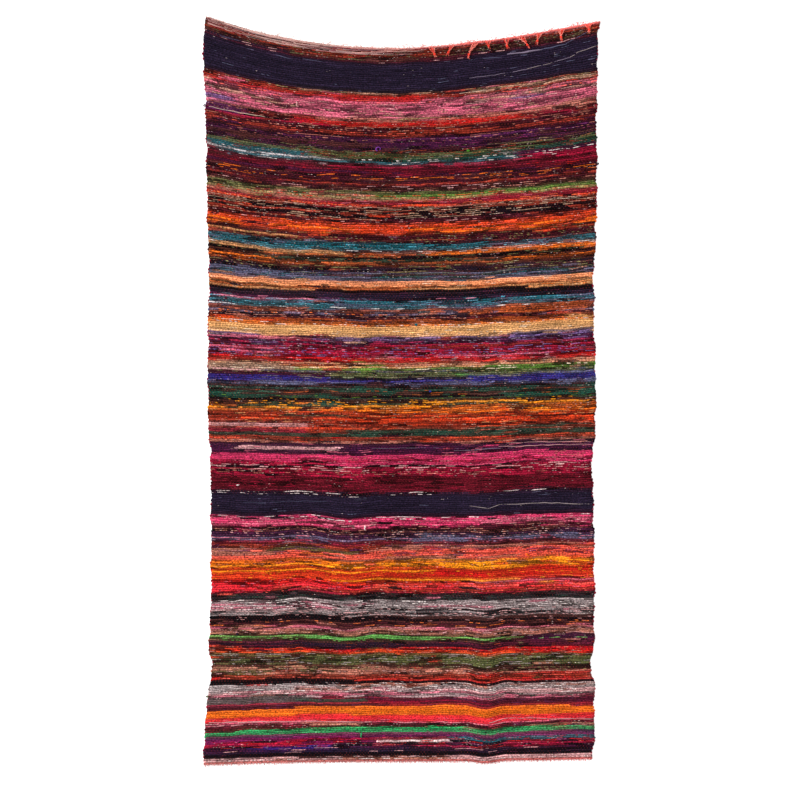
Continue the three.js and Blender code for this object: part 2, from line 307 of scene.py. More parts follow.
# %% Write the draft
Stripe = namedtuple("Stripe", "to ground second fleck share")
DRAFT = [
    Stripe(5, "brick", "crimson", "blush", 0.25),
    Stripe(18, "brown", "brick", "olive", 0.24),
    Stripe(23, "maroon", "navy", "blush", 0.12),
    Stripe(86, "navy", "navy", "slate", 0.02),
    Stripe(93, "fawn", "brick", "khaki", 0.25),
    Stripe(101, "brick", "fawn", "scarlet", 0.30),
    Stripe(109, "rose", "fawn", "coral", 0.20),
    Stripe(117, "rose", "fawn", "blush", 0.30),
    Stripe(138, "rose", "rose", "fawn", 0.22),
    Stripe(145, "clay", "brown", "crimson", 0.20),
    Stripe(157, "crimson", "brick", "clay", 0.22),
    Stripe(162, "maroon", "ink", "clay", 0.30),
    Stripe(167, "brick", "maroon", "clay", 0.30),
    Stripe(175, "brick", "maroon", "coral", 0.15),
    Stripe(181, "maroon", "brown", "brick", 0.20),
    Stripe(189, "plum", "purple", "clay", 0.20),
    Stripe(197, "brown", "plum", "grape", 0.12),
    Stripe(206, "plum", "brown", "olive", 0.20),
    Stripe(212, "maroon", "olive", "brick", 0.25),
    Stripe(223, "olive", "bottle", "brick", 0.22),
    Stripe(228, "smoke", "bottle", "white", 0.25),
    Stripe(235, "teal", "maroon", "white", 0.18),
    Stripe(247, "oxblood", "crimson", "maroon", 0.15),
    Stripe(257, "oxblood", "plum", "scarlet", 0.12),
    Stripe(269, "maroon", "brown", "orange", 0.28),
    Stripe(280, "maroon", "brick", "plum", 0.20),
    Stripe(284, "maroon", "brown", "blush", 0.18),
    Stripe(292, "brown", "maroon", "clay", 0.25),
    Stripe(298, "olive", "clay", "khaki", 0.20),
    Stripe(302, "olive", "clay", "scarlet", 0.30),
    Stripe(309, "clay", "khaki", "scarlet", 0.30),
    Stripe(315, "crimson", "clay", "rose", 0.20),
    Stripe(321, "vermilion", "crimson", "orange", 0.20),
    Stripe(325, "clay", "rust", "cream", 0.30),
    Stripe(346, "ink", "brick", "fawn", 0.36),
    Stripe(356, "maroon", "brick", "blush", 0.16),
    Stripe(366, "vermilion", "brick", "coral", 0.22),
    Stripe(378, "vermilion", "orange", "coral", 0.20),
    Stripe(385, "maroon", "brick", "olive", 0.20),
    Stripe(397, "maroon", "brick", "khaki", 0.20),
    Stripe(401, "teal", "slate", "ink", 0.20),
    Stripe(413, "teal", "slate", "sea", 0.25),
    Stripe(418, "clay", "brown", "white", 0.22),
    Stripe(428, "ink", "rust", "olive", 0.25),
    Stripe(434, "brown", "bottle", "rust", 0.20),
    Stripe(442, "rust", "orange", "ink", 0.25),
    Stripe(457, "brown", "navy", "khaki", 0.25),
    Stripe(463, "slate", "brown", "olive", 0.20),
    Stripe(474, "slate", "bottle", "teal", 0.25),
    Stripe(484, "peach", "peach", "cream", 0.10),
    Stripe(494, "sand", "rust", "orange", 0.20),
    Stripe(508, "ink", "navy", "plum", 0.07),
    Stripe(512, "plum", "purple", "rose", 0.15),
    Stripe(528, "teal", "slate", "sea", 0.22),
    Stripe(532, "slate", "teal", "white", 0.28),
    Stripe(539, "rust", "slate", "ink", 0.30),
    Stripe(547, "slate", "clay", "orange", 0.30),
    Stripe(553, "maroon", "navy", "clay", 0.25),
    Stripe(562, "rust", "vermilion", "maroon", 0.25),
    Stripe(566, "orange", "clay", "white", 0.30),
    Stripe(586, "tan", "tan", "cream", 0.10),
    Stripe(590, "heather", "lilac", "plum", 0.20),
    Stripe(597, "heather", "rose", "navy", 0.20),
    Stripe(609, "crimson", "plum", "lilac", 0.20),
    Stripe(615, "crimson", "brick", "heather", 0.24),
    Stripe(631, "crimson", "rose", "heather", 0.30),
    Stripe(640, "scarlet", "brick", "blush", 0.15),
    Stripe(648, "clay", "brick", "sand", 0.30),
    Stripe(654, "grass", "sand", "cream", 0.30),
    Stripe(658, "grass", "olive", "cream", 0.25),
    Stripe(671, "olive", "slate", "khaki", 0.26),
    Stripe(679, "royal", "navy", "lilac", 0.12),
    Stripe(687, "slate", "navy", "brown", 0.20),
    Stripe(697, "bottle", "brown", "ink", 0.20),
    Stripe(708, "bottle", "brown", "rust", 0.15),
    Stripe(717, "bottle", "ink", "grass", 0.12),
    Stripe(720, "ink", "brown", "amber", 0.20),
    Stripe(726, "brown", "bottle", "amber", 0.30),
    Stripe(730, "bottle", "rust", "amber", 0.25),
    Stripe(736, "rust", "amber", "bottle", 0.30),
    Stripe(743, "orange", "rust", "sand", 0.20),
    Stripe(767, "vermilion", "brick", "sand", 0.18),
    Stripe(780, "brick", "vermilion", "clay", 0.20),
    Stripe(790, "brick", "bottle", "ink", 0.20),
    Stripe(800, "vermilion", "brick", "scarlet", 0.15),
    Stripe(806, "clay", "brown", "ink", 0.25),
    Stripe(829, "plum", "navy", "rose", 0.12),
    Stripe(843, "pink", "pink", "clay", 0.12),
    Stripe(848, "pink", "crimson", "rose", 0.20),
    Stripe(862, "crimson", "ink", "blush", 0.38),
    Stripe(870, "crimson", "ink", "clay", 0.30),
    Stripe(876, "crimson", "oxblood", "plum", 0.20),
    Stripe(907, "oxblood", "oxblood", "crimson", 0.14),
    Stripe(911, "navy", "oxblood", "white", 0.22),
    Stripe(956, "navy", "navy", "slate", 0.03),
    Stripe(961, "pink", "rose", "white", 0.35),
    Stripe(977, "pink", "rose", "blush", 0.15),
    Stripe(983, "maroon", "ink", "clay", 0.25),
    Stripe(989, "brown", "ink", "clay", 0.35),
    Stripe(1002, "slate", "plum", "blush", 0.20),
    Stripe(1006, "slate", "lilac", "rose", 0.25),
    Stripe(1016, "oxblood", "crimson", "brick", 0.25),
    Stripe(1026, "brick", "clay", "purple", 0.20),
    Stripe(1039, "coral", "clay", "purple", 0.22),
    Stripe(1045, "coral", "clay", "navy", 0.12),
    Stripe(1055, "orange", "amber", "clay", 0.15),
    Stripe(1064, "vermilion", "amber", "orange", 0.20),
    Stripe(1086, "scarlet", "vermilion", "amber", 0.09),
    Stripe(1094, "scarlet", "amber", "rose", 0.18),
    Stripe(1109, "flame", "coral", "rose", 0.15),
    Stripe(1115, "crimson", "brick", "coral", 0.20),
    Stripe(1129, "charcoal", "charcoal", "bottle", 0.15),
    Stripe(1145, "smoke", "rose", "white", 0.30),
    Stripe(1162, "smoke", "charcoal", "blush", 0.34),
    Stripe(1172, "ink", "brown", "blush", 0.10),
    Stripe(1183, "brown", "maroon", "orange", 0.14),
    Stripe(1195, "clay", "rose", "blush", 0.30),
    Stripe(1201, "clay", "brown", "blush", 0.20),
    Stripe(1212, "brown", "olive", "leaf", 0.20),
    Stripe(1228, "wine", "navy", "brick", 0.12),
    Stripe(1238, "scarlet", "vermilion", "clay", 0.20),
    Stripe(1261, "olive", "brown", "smoke", 0.25),
    Stripe(1265, "brown", "olive", "ink", 0.20),
    Stripe(1273, "clay", "brown", "khaki", 0.25),
    Stripe(1281, "clay", "olive", "blush", 0.28),
    Stripe(1292, "brick", "scarlet", "coral", 0.14),
    Stripe(1298, "ink", "brown", "grey", 0.10),
    Stripe(1314, "smoke", "clay", "white", 0.30),
    Stripe(1319, "blush", "rose", "white", 0.25),
    Stripe(1330, "rose", "smoke", "bottle", 0.26),
    Stripe(1348, "crimson", "wine", "purple", 0.10),
    Stripe(1363, "orange", "orange", "amber", 0.06),
    Stripe(1376, "flame", "flame", "rose", 0.06),
    Stripe(1380, "rose", "maroon", "blush", 0.32),
    Stripe(1390, "maroon", "clay", "crimson", 0.30),
    Stripe(1400, "emerald", "emerald", "bottle", 0.18),
    Stripe(1411, "grape", "purple", "magenta", 0.10),
    Stripe(1419, "crimson", "grape", "scarlet", 0.25),
    Stripe(1430, "navy", "crimson", "scarlet", 0.32),
    Stripe(1438, "navy", "plum", "blush", 0.12),
    Stripe(1448, "ink", "navy", "plum", 0.10),
    Stripe(1452, "brown", "blush", "blush", 0.40),
    Stripe(CLOTH_LENGTH, "blush", "clay", "white", 0.30),
]
print(len(DRAFT), "stripes down", DRAFT[-1].to, "mm")

# %% [markdown]
# Where a rag runs out in the middle of a row, the weaver lays in another one. Each join below says
# between which two places across the rug, and between which two distances down it, another dye lies.

# %% List the joins
Join = namedtuple("Join", "left right start end dye")
JOINS = [
    Join(-136, 58, 94, 107, "scarlet"),
    Join(-410, -130, 96, 101, "scarlet"),
    Join(58, 410, 103, 107, "scarlet"),
    Join(-410, -215, 152, 157, "ink"),
    Join(-410, -330, 142, 156, "purple"),
    Join(-400, -200, 206, 214, "olive"),
    Join(-400, -190, 216, 226, "teal"),
    Join(-60, 410, 295, 300, "grass"),
    Join(60, 410, 307, 315, "crimson"),
    Join(60, 410, 414, 421, "orange"),
    Join(-410, -110, 414, 421, "sand"),
    Join(190, 400, 528, 546, "rust"),
    Join(-410, -150, 670, 680, "royal"),
    Join(150, 410, 670, 682, "royal"),
    Join(-130, 60, 728, 733, "amber"),
    Join(60, 250, 719, 723, "amber"),
    Join(250, 400, 726, 730, "amber"),
    Join(-410, -250, 722, 726, "amber"),
    Join(-120, 150, 778, 784, "bottle"),
    Join(150, 330, 773, 779, "bottle"),
    Join(-250, -120, 748, 753, "bottle"),
    Join(-410, -190, 768, 774, "blush"),
    Join(-410, -200, 778, 786, "crimson"),
    Join(90, 410, 1412, 1417, "teal"),
    Join(110, 410, 1447, 1457, "blush"),
    Join(-60, 110, 1417, 1421, "white"),
    Join(240, 410, 221, 229, "plum"),
    Join(250, 410, 229, 236, "crimson"),
    Join(-410, -180, 1324, 1337, "lead"),
    Join(-200, -60, 1330, 1337, "bottle"),
    Join(-410, -180, 1383, 1389, "oxblood"),
    Join(-410, 410, 1393, 1400, "emerald"),
    Join(-330, -200, 1417, 1422, "scarlet"),
    Join(-300, -150, 1426, 1431, "royal"),
    Join(-350, -120, 812, 823, "blush"),
    Join(-410, -200, 1203, 1207, "leaf"),
    Join(-200, 60, 1202, 1210, "leaf"),
    Join(60, 200, 1203, 1207, "leaf"),
    Join(-410, -200, 384, 390, "sand"),
    Join(-410, -180, 512, 519, "rose"),
    Join(250, 410, 1199, 1212, "plum"),
    Join(-210, 250, 147, 154, "scarlet"),
    Join(-410, -230, 646, 656, "fawn"),
    Join(-410, -300, 656, 660, "blush"),
    Join(-410, -150, 660, 668, "maroon"),
    Join(330, 410, 769, 775, "bottle"),
    Join(-410, -60, 989, 1000, "plum"),
    Join(-270, -80, 1023, 1029, "olive"),
    Join(-200, -60, 1036, 1040, "violet"),
    Join(-410, 60, 1069, 1073, "amber"),
    Join(-150, 250, 1084, 1088, "amber"),
    Join(150, 410, 1090, 1094, "rose"),
    Join(205, 285, 113, 117, "heather"),
    Join(0, 90, 138, 142, "khaki"),
    Join(-410, -345, 128, 135, "heather"),
]
print(len(JOINS), "joins")

# %% [markdown]
# ## From draft to rows
#
# The loom beats about 390 rows into the cloth. Each row is cut into lengths of rag, and each length takes
# the ground dye or the second one of the stripe that it falls in, a little lighter or darker, because old
# cloth fades unevenly. The result is one colour for each cell of the weave, a cell being the stretch of a
# row between two warps.

# %% Set up the loom
ROWS = 390
CELLS = 252
PITCH = CLOTH_LENGTH / ROWS
RUG_WIDTH = 800.0
EDGE_CELLS = (0.0, 0.0022, 0.0055)
dice = np.random.default_rng(11)

inner = np.linspace(EDGE_CELLS[2], 1 - EDGE_CELLS[2], CELLS - 3)
across = np.concatenate([EDGE_CELLS[:2], inner, [1 - EDGE_CELLS[1], 1.0]])
cell_x = (0.5 * (across[1:] + across[:-1]) - 0.5) * RUG_WIDTH
point_x = (across - 0.5) * RUG_WIDTH
print("rows every", round(PITCH, 2), "mm, warps every", round(RUG_WIDTH / CELLS, 2), "mm")


# %% Make uneven lines
def uneven(count, x, spacing):
    """Soft random waves, one for each of count lines, between -1 and 1, with a bend every spacing."""
    knots = int(np.ceil(np.ptp(x) / spacing)) + 3
    heights = dice.uniform(-1, 1, (count, knots))
    t = (x - x.min())[None, :] / spacing + dice.uniform(0, 1, (count, 1))
    n = t.astype(int)
    lines = np.arange(count)[:, None]
    return mix(heights[lines, n], heights[lines, n + 1], smooth(t - n))


# %% Place the valleys between the rows
Wander = namedtuple("Wander", "spacing share")
WANDERS = [Wander(62, 0.22), Wander(17, 0.12)]
BULK_JITTER = 0.26
MEMORY = 0.86  # how much of a row's wander the next row keeps
CALM_ROWS = 6


def valley_lines():
    """How far down the rug each valley lies, for each point across: ROWS + 1 lines."""
    bulk = 1 + BULK_JITTER * dice.uniform(-1, 1, ROWS)
    marks = np.concatenate([[0], np.cumsum(bulk)]) * CLOTH_LENGTH / bulk.sum()
    nudges = sum(w.share * PITCH * uneven(ROWS + 1, point_x, w.spacing) for w in WANDERS)
    wander = np.zeros_like(nudges)
    for n in range(1, ROWS + 1):
        wander[n] = MEMORY * wander[n - 1] + nudges[n]
    from_end = np.minimum(np.arange(ROWS + 1), ROWS - np.arange(ROWS + 1))[:, None]
    return marks[:, None] + wander * smooth(np.minimum(from_end / CALM_ROWS, 1.0))


valleys = valley_lines()
row_middle = (valleys[1:].mean(1) + valleys[:-1].mean(1)) / 2
print("narrowest row:", round(float(np.diff(valleys, axis=0).min()), 2), "mm")


# %% Deal out the rags
RAG_SHORTEST, RAG_LONGEST = 110, 520
TWIST_SHORTEST, TWIST_LONGEST = 6, 46
SECOND_SHARE = 0.34
STRAY = 2.0  # how far a rag may stray into the next stripe, in millimetres
FADE = 0.22
JOIN_FRAY = 16
Twist = namedtuple("Twist", "share low high")
DARK_SIDE = Twist(0.27, 0.12, 0.6)
LIGHT_SIDE = Twist(0.12, 1.15, 1.55)
NEIGHBOUR = Twist(0.15, 0.55, 1.0)
NEIGHBOUR_REACH = 9.0
QUIET, CALM = 0.105, 0.13  # shares of flecks below which a stripe is nearly plain, or fairly plain
CALMING = 2.6
QUIET_TONE = (0.82, 1.17)
JOIN_TONE = (0.6, 1.25)
STRIPE_ENDS = [s.to for s in DRAFT]


def stripe_at(along):
    """The stripe of the draft at a distance down the rug."""
    return DRAFT[int(np.clip(np.searchsorted(STRIPE_ENDS, along), 0, len(DRAFT) - 1))]


def pick_dye(along):
    """One of the two rags of the stripe there, a little lighter or darker."""
    stripe = stripe_at(along)
    name = stripe.second if dice.random() < SECOND_SHARE else stripe.ground
    return DYE[name] * dice.uniform(1 - FADE, 1 + FADE)


def lengths_across(shortest, longest):
    """Cut one row into lengths: the cells of each."""
    start = -RUG_WIDTH / 2 - dice.uniform(0, longest)
    while start < RUG_WIDTH / 2:
        end = start + dice.uniform(shortest, longest)
        yield (cell_x >= start) & (cell_x < end)
        start = end


def deal_rags():
    """The dye of each cell, the fleck dye of each cell and the share of flecks."""
    rag = np.zeros((ROWS, CELLS, 3))
    fleck = np.zeros((ROWS, CELLS, 3))
    share = np.zeros((ROWS, CELLS))
    for row, middle in enumerate(row_middle):
        for cells in lengths_across(RAG_SHORTEST, RAG_LONGEST):
            along = middle + dice.uniform(-STRAY, STRAY)
            rag[row, cells] = pick_dye(along)
            fleck[row, cells] = DYE[stripe_at(along).fleck]
            share[row, cells] = stripe_at(along).share
        quiet = stripe_at(middle).share < QUIET
        calm = stripe_at(middle).share < CALM
        for cells in lengths_across(TWIST_SHORTEST, TWIST_LONGEST):
            luck = dice.random() * (CALMING if calm else 1.0)
            if quiet:
                rag[row, cells] *= dice.uniform(*QUIET_TONE)
            elif luck < DARK_SIDE.share:
                rag[row, cells] *= dice.uniform(DARK_SIDE.low, DARK_SIDE.high)
            elif luck < DARK_SIDE.share + LIGHT_SIDE.share:
                rag[row, cells] *= dice.uniform(LIGHT_SIDE.low, LIGHT_SIDE.high)
            elif luck < DARK_SIDE.share + LIGHT_SIDE.share + NEIGHBOUR.share:
                dye = pick_dye(middle + dice.normal(0, NEIGHBOUR_REACH))
                rag[row, cells] = dye * dice.uniform(NEIGHBOUR.low, NEIGHBOUR.high)
    return rag, fleck, share


def lay_joins(rag):
    """Lay the other dye into the cells that each join covers, with frayed ends."""
    for join in JOINS:
        for row, middle in enumerate(row_middle):
            if join.start <= middle <= join.end:
                low, high = np.array([join.left, join.right]) + dice.uniform(-JOIN_FRAY, JOIN_FRAY, 2)
                for cells in lengths_across(TWIST_SHORTEST, TWIST_LONGEST):
                    cells = cells & (cell_x > low) & (cell_x < high)
                    rag[row, cells] = DYE[join.dye] * dice.uniform(*JOIN_TONE)


rag, fleck, share = deal_rags()
lay_joins(rag)
print("mean dye:", rag.mean((0, 1)).round(3))

# %% [markdown]
# Cheap dyes bleed when the rug is washed, so a rag takes on some of the hue of the rags around it but
# keeps its own lightness. The ends of a twist don't stop square either: the rag turns over slantwise, so
# the upper and lower side of a row change colour a little before or after its crown.

# %% Let the dyes bleed
BLEED, FLECK_BLEED = 0.5, 0.6
BLEED_ROWS, BLEED_CELLS = 1, 3
LIGHTNESS = np.array([0.3, 0.59, 0.11])


def spread_out(values, reach, axis):
    """The mean over reach neighbours to either side along an axis."""
    pad = [(0, 0)] * values.ndim
    pad[axis] = (reach, reach)
    padded = np.pad(values, pad, mode="edge")
    count, shifts = values.shape[axis], 2 * reach + 1
    return sum(np.take(padded, range(k, k + count), axis) for k in range(shifts)) / shifts


def bleed(colours):
    """Colours that have taken on some of the hue around them."""
    around = colours
    for _ in range(2):
        around = spread_out(spread_out(around, BLEED_ROWS, 0), BLEED_CELLS, 1)
    own_light = (colours @ LIGHTNESS)[..., None]
    hue = around / (around @ LIGHTNESS)[..., None]
    return mix(colours, own_light * hue, BLEED)


SLANT = 3  # cells by which a side of a row may run ahead of its crown


def slanted(values):
    """Values for the upper side, the crown and the lower side of each row."""
    sides = []
    for part in range(3):
        ahead = np.zeros(ROWS, int) if part == 1 else dice.integers(-SLANT, SLANT + 1, ROWS)
        cells = np.clip(np.arange(CELLS)[None, :] + ahead[:, None], 0, CELLS - 1)
        sides.append(values[np.arange(ROWS)[:, None], cells])
    return np.stack(sides, 1)


rag_sides = slanted(bleed(rag))
fleck = mix(fleck, bleed(fleck), FLECK_BLEED)
print("shape of the dealt rags:", rag_sides.shape)

# %% [markdown]
# The bands of thick and thin rags make the cloth swell and thin along its length. The same short table
# of bands shapes the solid, so both have their crowns in the same places.

# %% Thickness of the cloth
Band = namedtuple("Band", "length swell")
BANDS = [
    Band(25, 0.9), Band(68, 0.2), Band(26, 0.9), Band(29, 0.6), Band(37, 1.3), Band(29, 0.8),
    Band(23, 1.2), Band(62, 0.7), Band(29, 1.3), Band(43, 0.8), Band(35, 1.3), Band(12, 1.1),
    Band(27, 0.8), Band(31, 0.7), Band(20, 1.4), Band(70, 0.9), Band(23, 1.0), Band(51, 1.1),
    Band(33, 1.0), Band(70, 0.8), Band(63, 1.2), Band(27, 0.6), Band(19, 1.3), Band(61, 0.8),
    Band(41, 0.2), Band(25, 1.3), Band(74, 0.9), Band(62, 1.2), Band(16, 0.9), Band(68, 0.7),
    Band(28, 1.0), Band(37, 1.1), Band(31, 0.9), Band(53, 1.0), Band(27, 1.2), Band(25, 1.2),
    Band(29, 0.9), Band(27, 0.7),
]  # fmt: skip


def thickness(along):
    """The cloth's thickness at a distance down it: a crown in each band, and a seam between bands."""
    ends = np.cumsum([0] + [b.length for b in BANDS]) * CLOTH_LENGTH / sum(b.length for b in BANDS)
    crowns = (ends[1:] + ends[:-1]) / 2
    marks = np.concatenate([ends, crowns])
    values = np.concatenate([np.zeros(len(ends)), [b.swell for b in BANDS]])
    order = np.argsort(marks)
    return THINNEST + np.interp(along, marks[order], values[order])


print("thickest:", round(float(thickness(np.arange(0, CLOTH_LENGTH, 5.0)).max()), 2), "mm")

# %% [markdown]
# A woven strip is a closed skin: the face, the back, two selvedges and two ends. The back has the same
# rows with fewer points, because it lies on the floor. The mesh carries what the dye needs: the colour of
# each cell, and the thread coordinates, which count millimetres across, rows down and warps across.

# %% Build a woven skin
Weave = namedtuple("Weave", "valleys thickness rag fleck share first_row relief")
Relief = namedtuple("Relief", "valley shoulder over lump")
SHOULDERS = (0.0, 0.27, 0.73)
EDGE_HEIGHTS = (0.52, 0.86)
TURN_REACH = 0.6
VALLEY_TURN = -0.4
BACK_RELIEF = 0.45
BACK_EDGE_RISE = 0.2
LUMPS = [Wander(21, 0.6), Wander(8, 0.4)]


def weave_points(weave):
    """Face points and back points in metres, with their thread coordinates."""
    rows = len(weave.valleys) - 1
    step = np.diff(weave.valleys, axis=0)
    lines, kinds = [], []
    for n in range(rows):
        for share_down in SHOULDERS:
            lines.append(weave.valleys[n] + step[n] * share_down)
            kinds.append((n, share_down))
    lines.append(weave.valleys[rows])
    kinds.append((rows, 0.0))
    along = np.array(lines)
    row = np.array([k[0] for k in kinds])[:, None]
    down = np.array([k[1] for k in kinds])[:, None]
    warp = np.arange(len(across))[None, :]

    crown = down > 0
    over = (row + weave.first_row + warp) % 2 == 0
    rows_of_lumps = np.minimum(row[:, 0], rows - 1)
    lumps = sum(w.share * uneven(rows, point_x, w.spacing) for w in LUMPS)[rows_of_lumps]
    relief = weave.relief
    raised = np.where(crown, relief.shoulder + relief.over * over + relief.lump * lumps, -relief.valley)
    height = weave.thickness(along) + raised
    height[:, [0, -1]] *= EDGE_HEIGHTS[0]
    height[:, [1, -2]] *= EDGE_HEIGHTS[1]

    turns = np.where(crown, 1.0, VALLEY_TURN) * (0.5 + 0.5 * dice.random((rows + 1, 2))[row[:, 0]])
    x, y = place(np.broadcast_to(across, along.shape), along)
    z = lift(x, along) + height
    x = x.copy()
    x[:, 0] -= TURN_REACH * turns[:, 0]
    x[:, -1] += TURN_REACH * turns[:, 1]
    face = to_metres(x, y, z)
    thread = np.stack(np.broadcast_arrays(point_x[None, :], row + down + weave.first_row, warp), -1)

    back_along = weave.valleys[:, ::2]
    back_x, back_y = place(np.broadcast_to(across[::2], back_along.shape), back_along)
    nubs = BACK_RELIEF * ((np.arange(rows + 1)[:, None] + np.arange(back_along.shape[1])) % 2)
    back_z = lift(back_x, back_along) + nubs
    back_z[:, [0, -1]] += THINNEST * BACK_EDGE_RISE
    back = to_metres(back_x, back_y, back_z)
    back_row = np.arange(rows + 1)[:, None] + weave.first_row
    back_thread = np.stack(np.broadcast_arrays(point_x[None, ::2], back_row, warp[:, ::2]), -1)
    return face, back, np.concatenate([thread.reshape(-1, 3), back_thread.reshape(-1, 3)])


def grid_quads(rows, columns, first=0):
    """Corner numbers of the quads of a grid of points."""
    r, c = np.meshgrid(np.arange(rows - 1), np.arange(columns - 1), indexing="ij")
    a = (first + r * columns + c).ravel()
    return np.stack([a, a + 1, a + columns + 1, a + columns], -1)


# %% [markdown]
# Each face of the mesh also gets a place on a flat map. The map gives most of its room to the face of
# the cloth, and stretches it down the rug, so that a baked picture keeps the thin rows apart.

# %% Put a mesh together
MapStrip = namedtuple("MapStrip", "low high")
FACE_STRIP, BACK_STRIP = MapStrip(0.01, 0.70), MapStrip(0.72, 0.94)
RIM_STRIPS = [MapStrip(0.950, 0.958), MapStrip(0.962, 0.970), MapStrip(0.974, 0.982), MapStrip(0.986, 0.994)]
MAP_MARGIN = 0.01


def rect_uv(count_down, count_across, strip):
    """Map corners of a grid of faces that fills a strip of the map."""
    u = np.linspace(MAP_MARGIN, 1 - MAP_MARGIN, count_across + 1)
    v = np.linspace(strip.low, strip.high, count_down + 1)
    corners = np.empty((count_down, count_across, 4, 2))
    corners[..., 0, 0] = corners[..., 3, 0] = u[:-1][None, :]
    corners[..., 1, 0] = corners[..., 2, 0] = u[1:][None, :]
    corners[..., 0, 1] = corners[..., 1, 1] = v[:-1][:, None]
    corners[..., 2, 1] = corners[..., 3, 1] = v[1:][:, None]
    return corners.reshape(-1, 4, 2)


def make_mesh(name, points, face_groups, flat_groups=()):
    """A mesh from groups of faces. A group is corner numbers and map corners, both by face."""
    mesh = bpy.data.meshes.new(name)
    corners = np.concatenate([g[0].ravel() for g in face_groups])
    totals = np.concatenate([np.full(len(g[0]), g[0].shape[1]) for g in face_groups])
    mesh.vertices.add(len(points))
    mesh.vertices.foreach_set("co", np.asarray(points, np.float32).ravel())
    mesh.loops.add(len(corners))
    mesh.loops.foreach_set("vertex_index", corners.astype(np.int32))
    mesh.polygons.add(len(totals))
    starts = np.concatenate([[0], np.cumsum(totals)[:-1]]).astype(np.int32)
    mesh.polygons.foreach_set("loop_start", starts)
    is_smooth = [np.full(len(g[0]), n not in flat_groups) for n, g in enumerate(face_groups)]
    mesh.polygons.foreach_set("use_smooth", np.concatenate(is_smooth))
    mesh.update(calc_edges=True)
    uv = np.concatenate([g[1].reshape(-1, 2) for g in face_groups]).astype(np.float32)
    mesh.uv_layers.new(name="OFBake").data.foreach_set("uv", uv.ravel())
    mesh.validate(clean_customdata=False)
    return mesh


def set_values(mesh, name, kind, domain, values):
    """Store values on the faces or points of a mesh, for the finish to read."""
    field = {"FLOAT": "value", "FLOAT_COLOR": "color", "FLOAT_VECTOR": "vector"}[kind]
    values = np.asarray(values, np.float32)
    if kind == "FLOAT_COLOR":
        values = np.concatenate([values, np.ones((len(values), 1), np.float32)], 1)
    mesh.attributes.new(name, kind, domain).data.foreach_set(field, values.ravel())


# %% Close the skin of a woven strip


def rim_faces(face_ids, back_ids, per_back, strip):
    """Faces with many corners that join a fine line of the face to a coarse line of the back."""
    count = len(back_ids) - 1
    fine = [face_ids[k : k + count * per_back : per_back] for k in range(per_back)]
    fine.append(face_ids[per_back::per_back])
    corners = np.stack([*fine, back_ids[1:], back_ids[:-1]], -1)
    u = np.linspace(MAP_MARGIN, 1 - MAP_MARGIN, count + 1)
    top = [mix(u[:-1], u[1:], k / per_back) for k in range(per_back + 1)]
    uv = np.stack([*top, u[1:], u[:-1]], -1)
    v = np.full(uv.shape, strip.high)
    v[:, -2:] = strip.low
    return corners, np.stack([uv, v], -1)


def woven_piece(name, weave):
    """A closed woven strip, with the colour of each cell on its faces."""
    face, back, thread = weave_points(weave)
    rows = len(weave.valleys) - 1
    wide, lines = len(across), rows * len(SHOULDERS) + 1
    back_wide = (wide + 1) // 2
    top = grid_quads(lines, wide)[:, ::-1]
    under = grid_quads(rows + 1, back_wide, len(face))
    face_ids = np.arange(len(face)).reshape(lines, wide)
    back_ids = len(face) + np.arange(len(back)).reshape(rows + 1, back_wide)
    left = rim_faces(face_ids[:, 0], back_ids[:, 0], 3, RIM_STRIPS[0])
    right = rim_faces(face_ids[:, -1], back_ids[:, -1], 3, RIM_STRIPS[1])
    head = rim_faces(face_ids[0], back_ids[0], 2, RIM_STRIPS[2])
    foot = rim_faces(face_ids[-1], back_ids[-1], 2, RIM_STRIPS[3])
    right = (right[0][:, ::-1], right[1][:, ::-1])
    head = (head[0][:, ::-1], head[1][:, ::-1])
    groups = [
        (top, rect_uv(lines - 1, wide - 1, FACE_STRIP)[:, ::-1]),
        (under, rect_uv(rows, back_wide - 1, BACK_STRIP)),
        left,
        right,
        head,
        foot,
    ]
    mesh = make_mesh(name, np.concatenate([face, back]), groups, flat_groups=(4, 5))

    def on_faces(sides):
        """Values for each face: the face of the cloth, its back, its selvedges and its ends."""
        crowns, tail = sides[:, 1], sides.shape[3:]
        face_values = sides.reshape((-1,) + tail)
        back_values = crowns[:, ::2].reshape((-1,) + tail)
        rims = [crowns[:, 0], crowns[:, -1], crowns[0, ::2], crowns[-1, ::2]]
        return np.concatenate([face_values, back_values, *rims])

    def on_rows(values):
        return on_faces(np.repeat(values[:, None], 3, 1))

    set_values(mesh, "rag", "FLOAT_COLOR", "FACE", on_faces(weave.rag))
    set_values(mesh, "fleck", "FLOAT_COLOR", "FACE", on_rows(weave.fleck))
    set_values(mesh, "fleck_share", "FLOAT", "FACE", on_rows(weave.share))
    set_values(mesh, "thread", "FLOAT_VECTOR", "POINT", thread)
    piece = bpy.data.objects.new(name, mesh)
    bpy.context.scene.collection.objects.link(piece)
    return piece


# %% Weave the cloth in five lengths
LENGTHS = 5
CLOTH_RELIEF = Relief(valley=1.3, shoulder=0.1, over=0.5, lump=0.7)


def weave_cloth():
    per_length = ROWS // LENGTHS
    pieces = []
    for n in range(LENGTHS):
        rows = slice(n * per_length, (n + 1) * per_length)
        lines = valleys[n * per_length : (n + 1) * per_length + 1]
        weave = Weave(lines, thickness, rag_sides[rows], fleck[rows], share[rows], rows.start, CLOTH_RELIEF)
        pieces.append(woven_piece(f"woven_length_{n + 1}", weave))
    return pieces


cloth = weave_cloth()
print("faces in each length:", [len(p.data.polygons) for p in cloth])

# %% [markdown]
# ## Shader arithmetic
#
# The finish needs a good deal of arithmetic: which row is this, which warp, is this stretch of rag turned
# over. Written as nodes by hand that is hard to read. A small class wraps the output of a node, and its
# operators add Math nodes, so the formulas below read as they would on paper.

# %% Wrap a socket


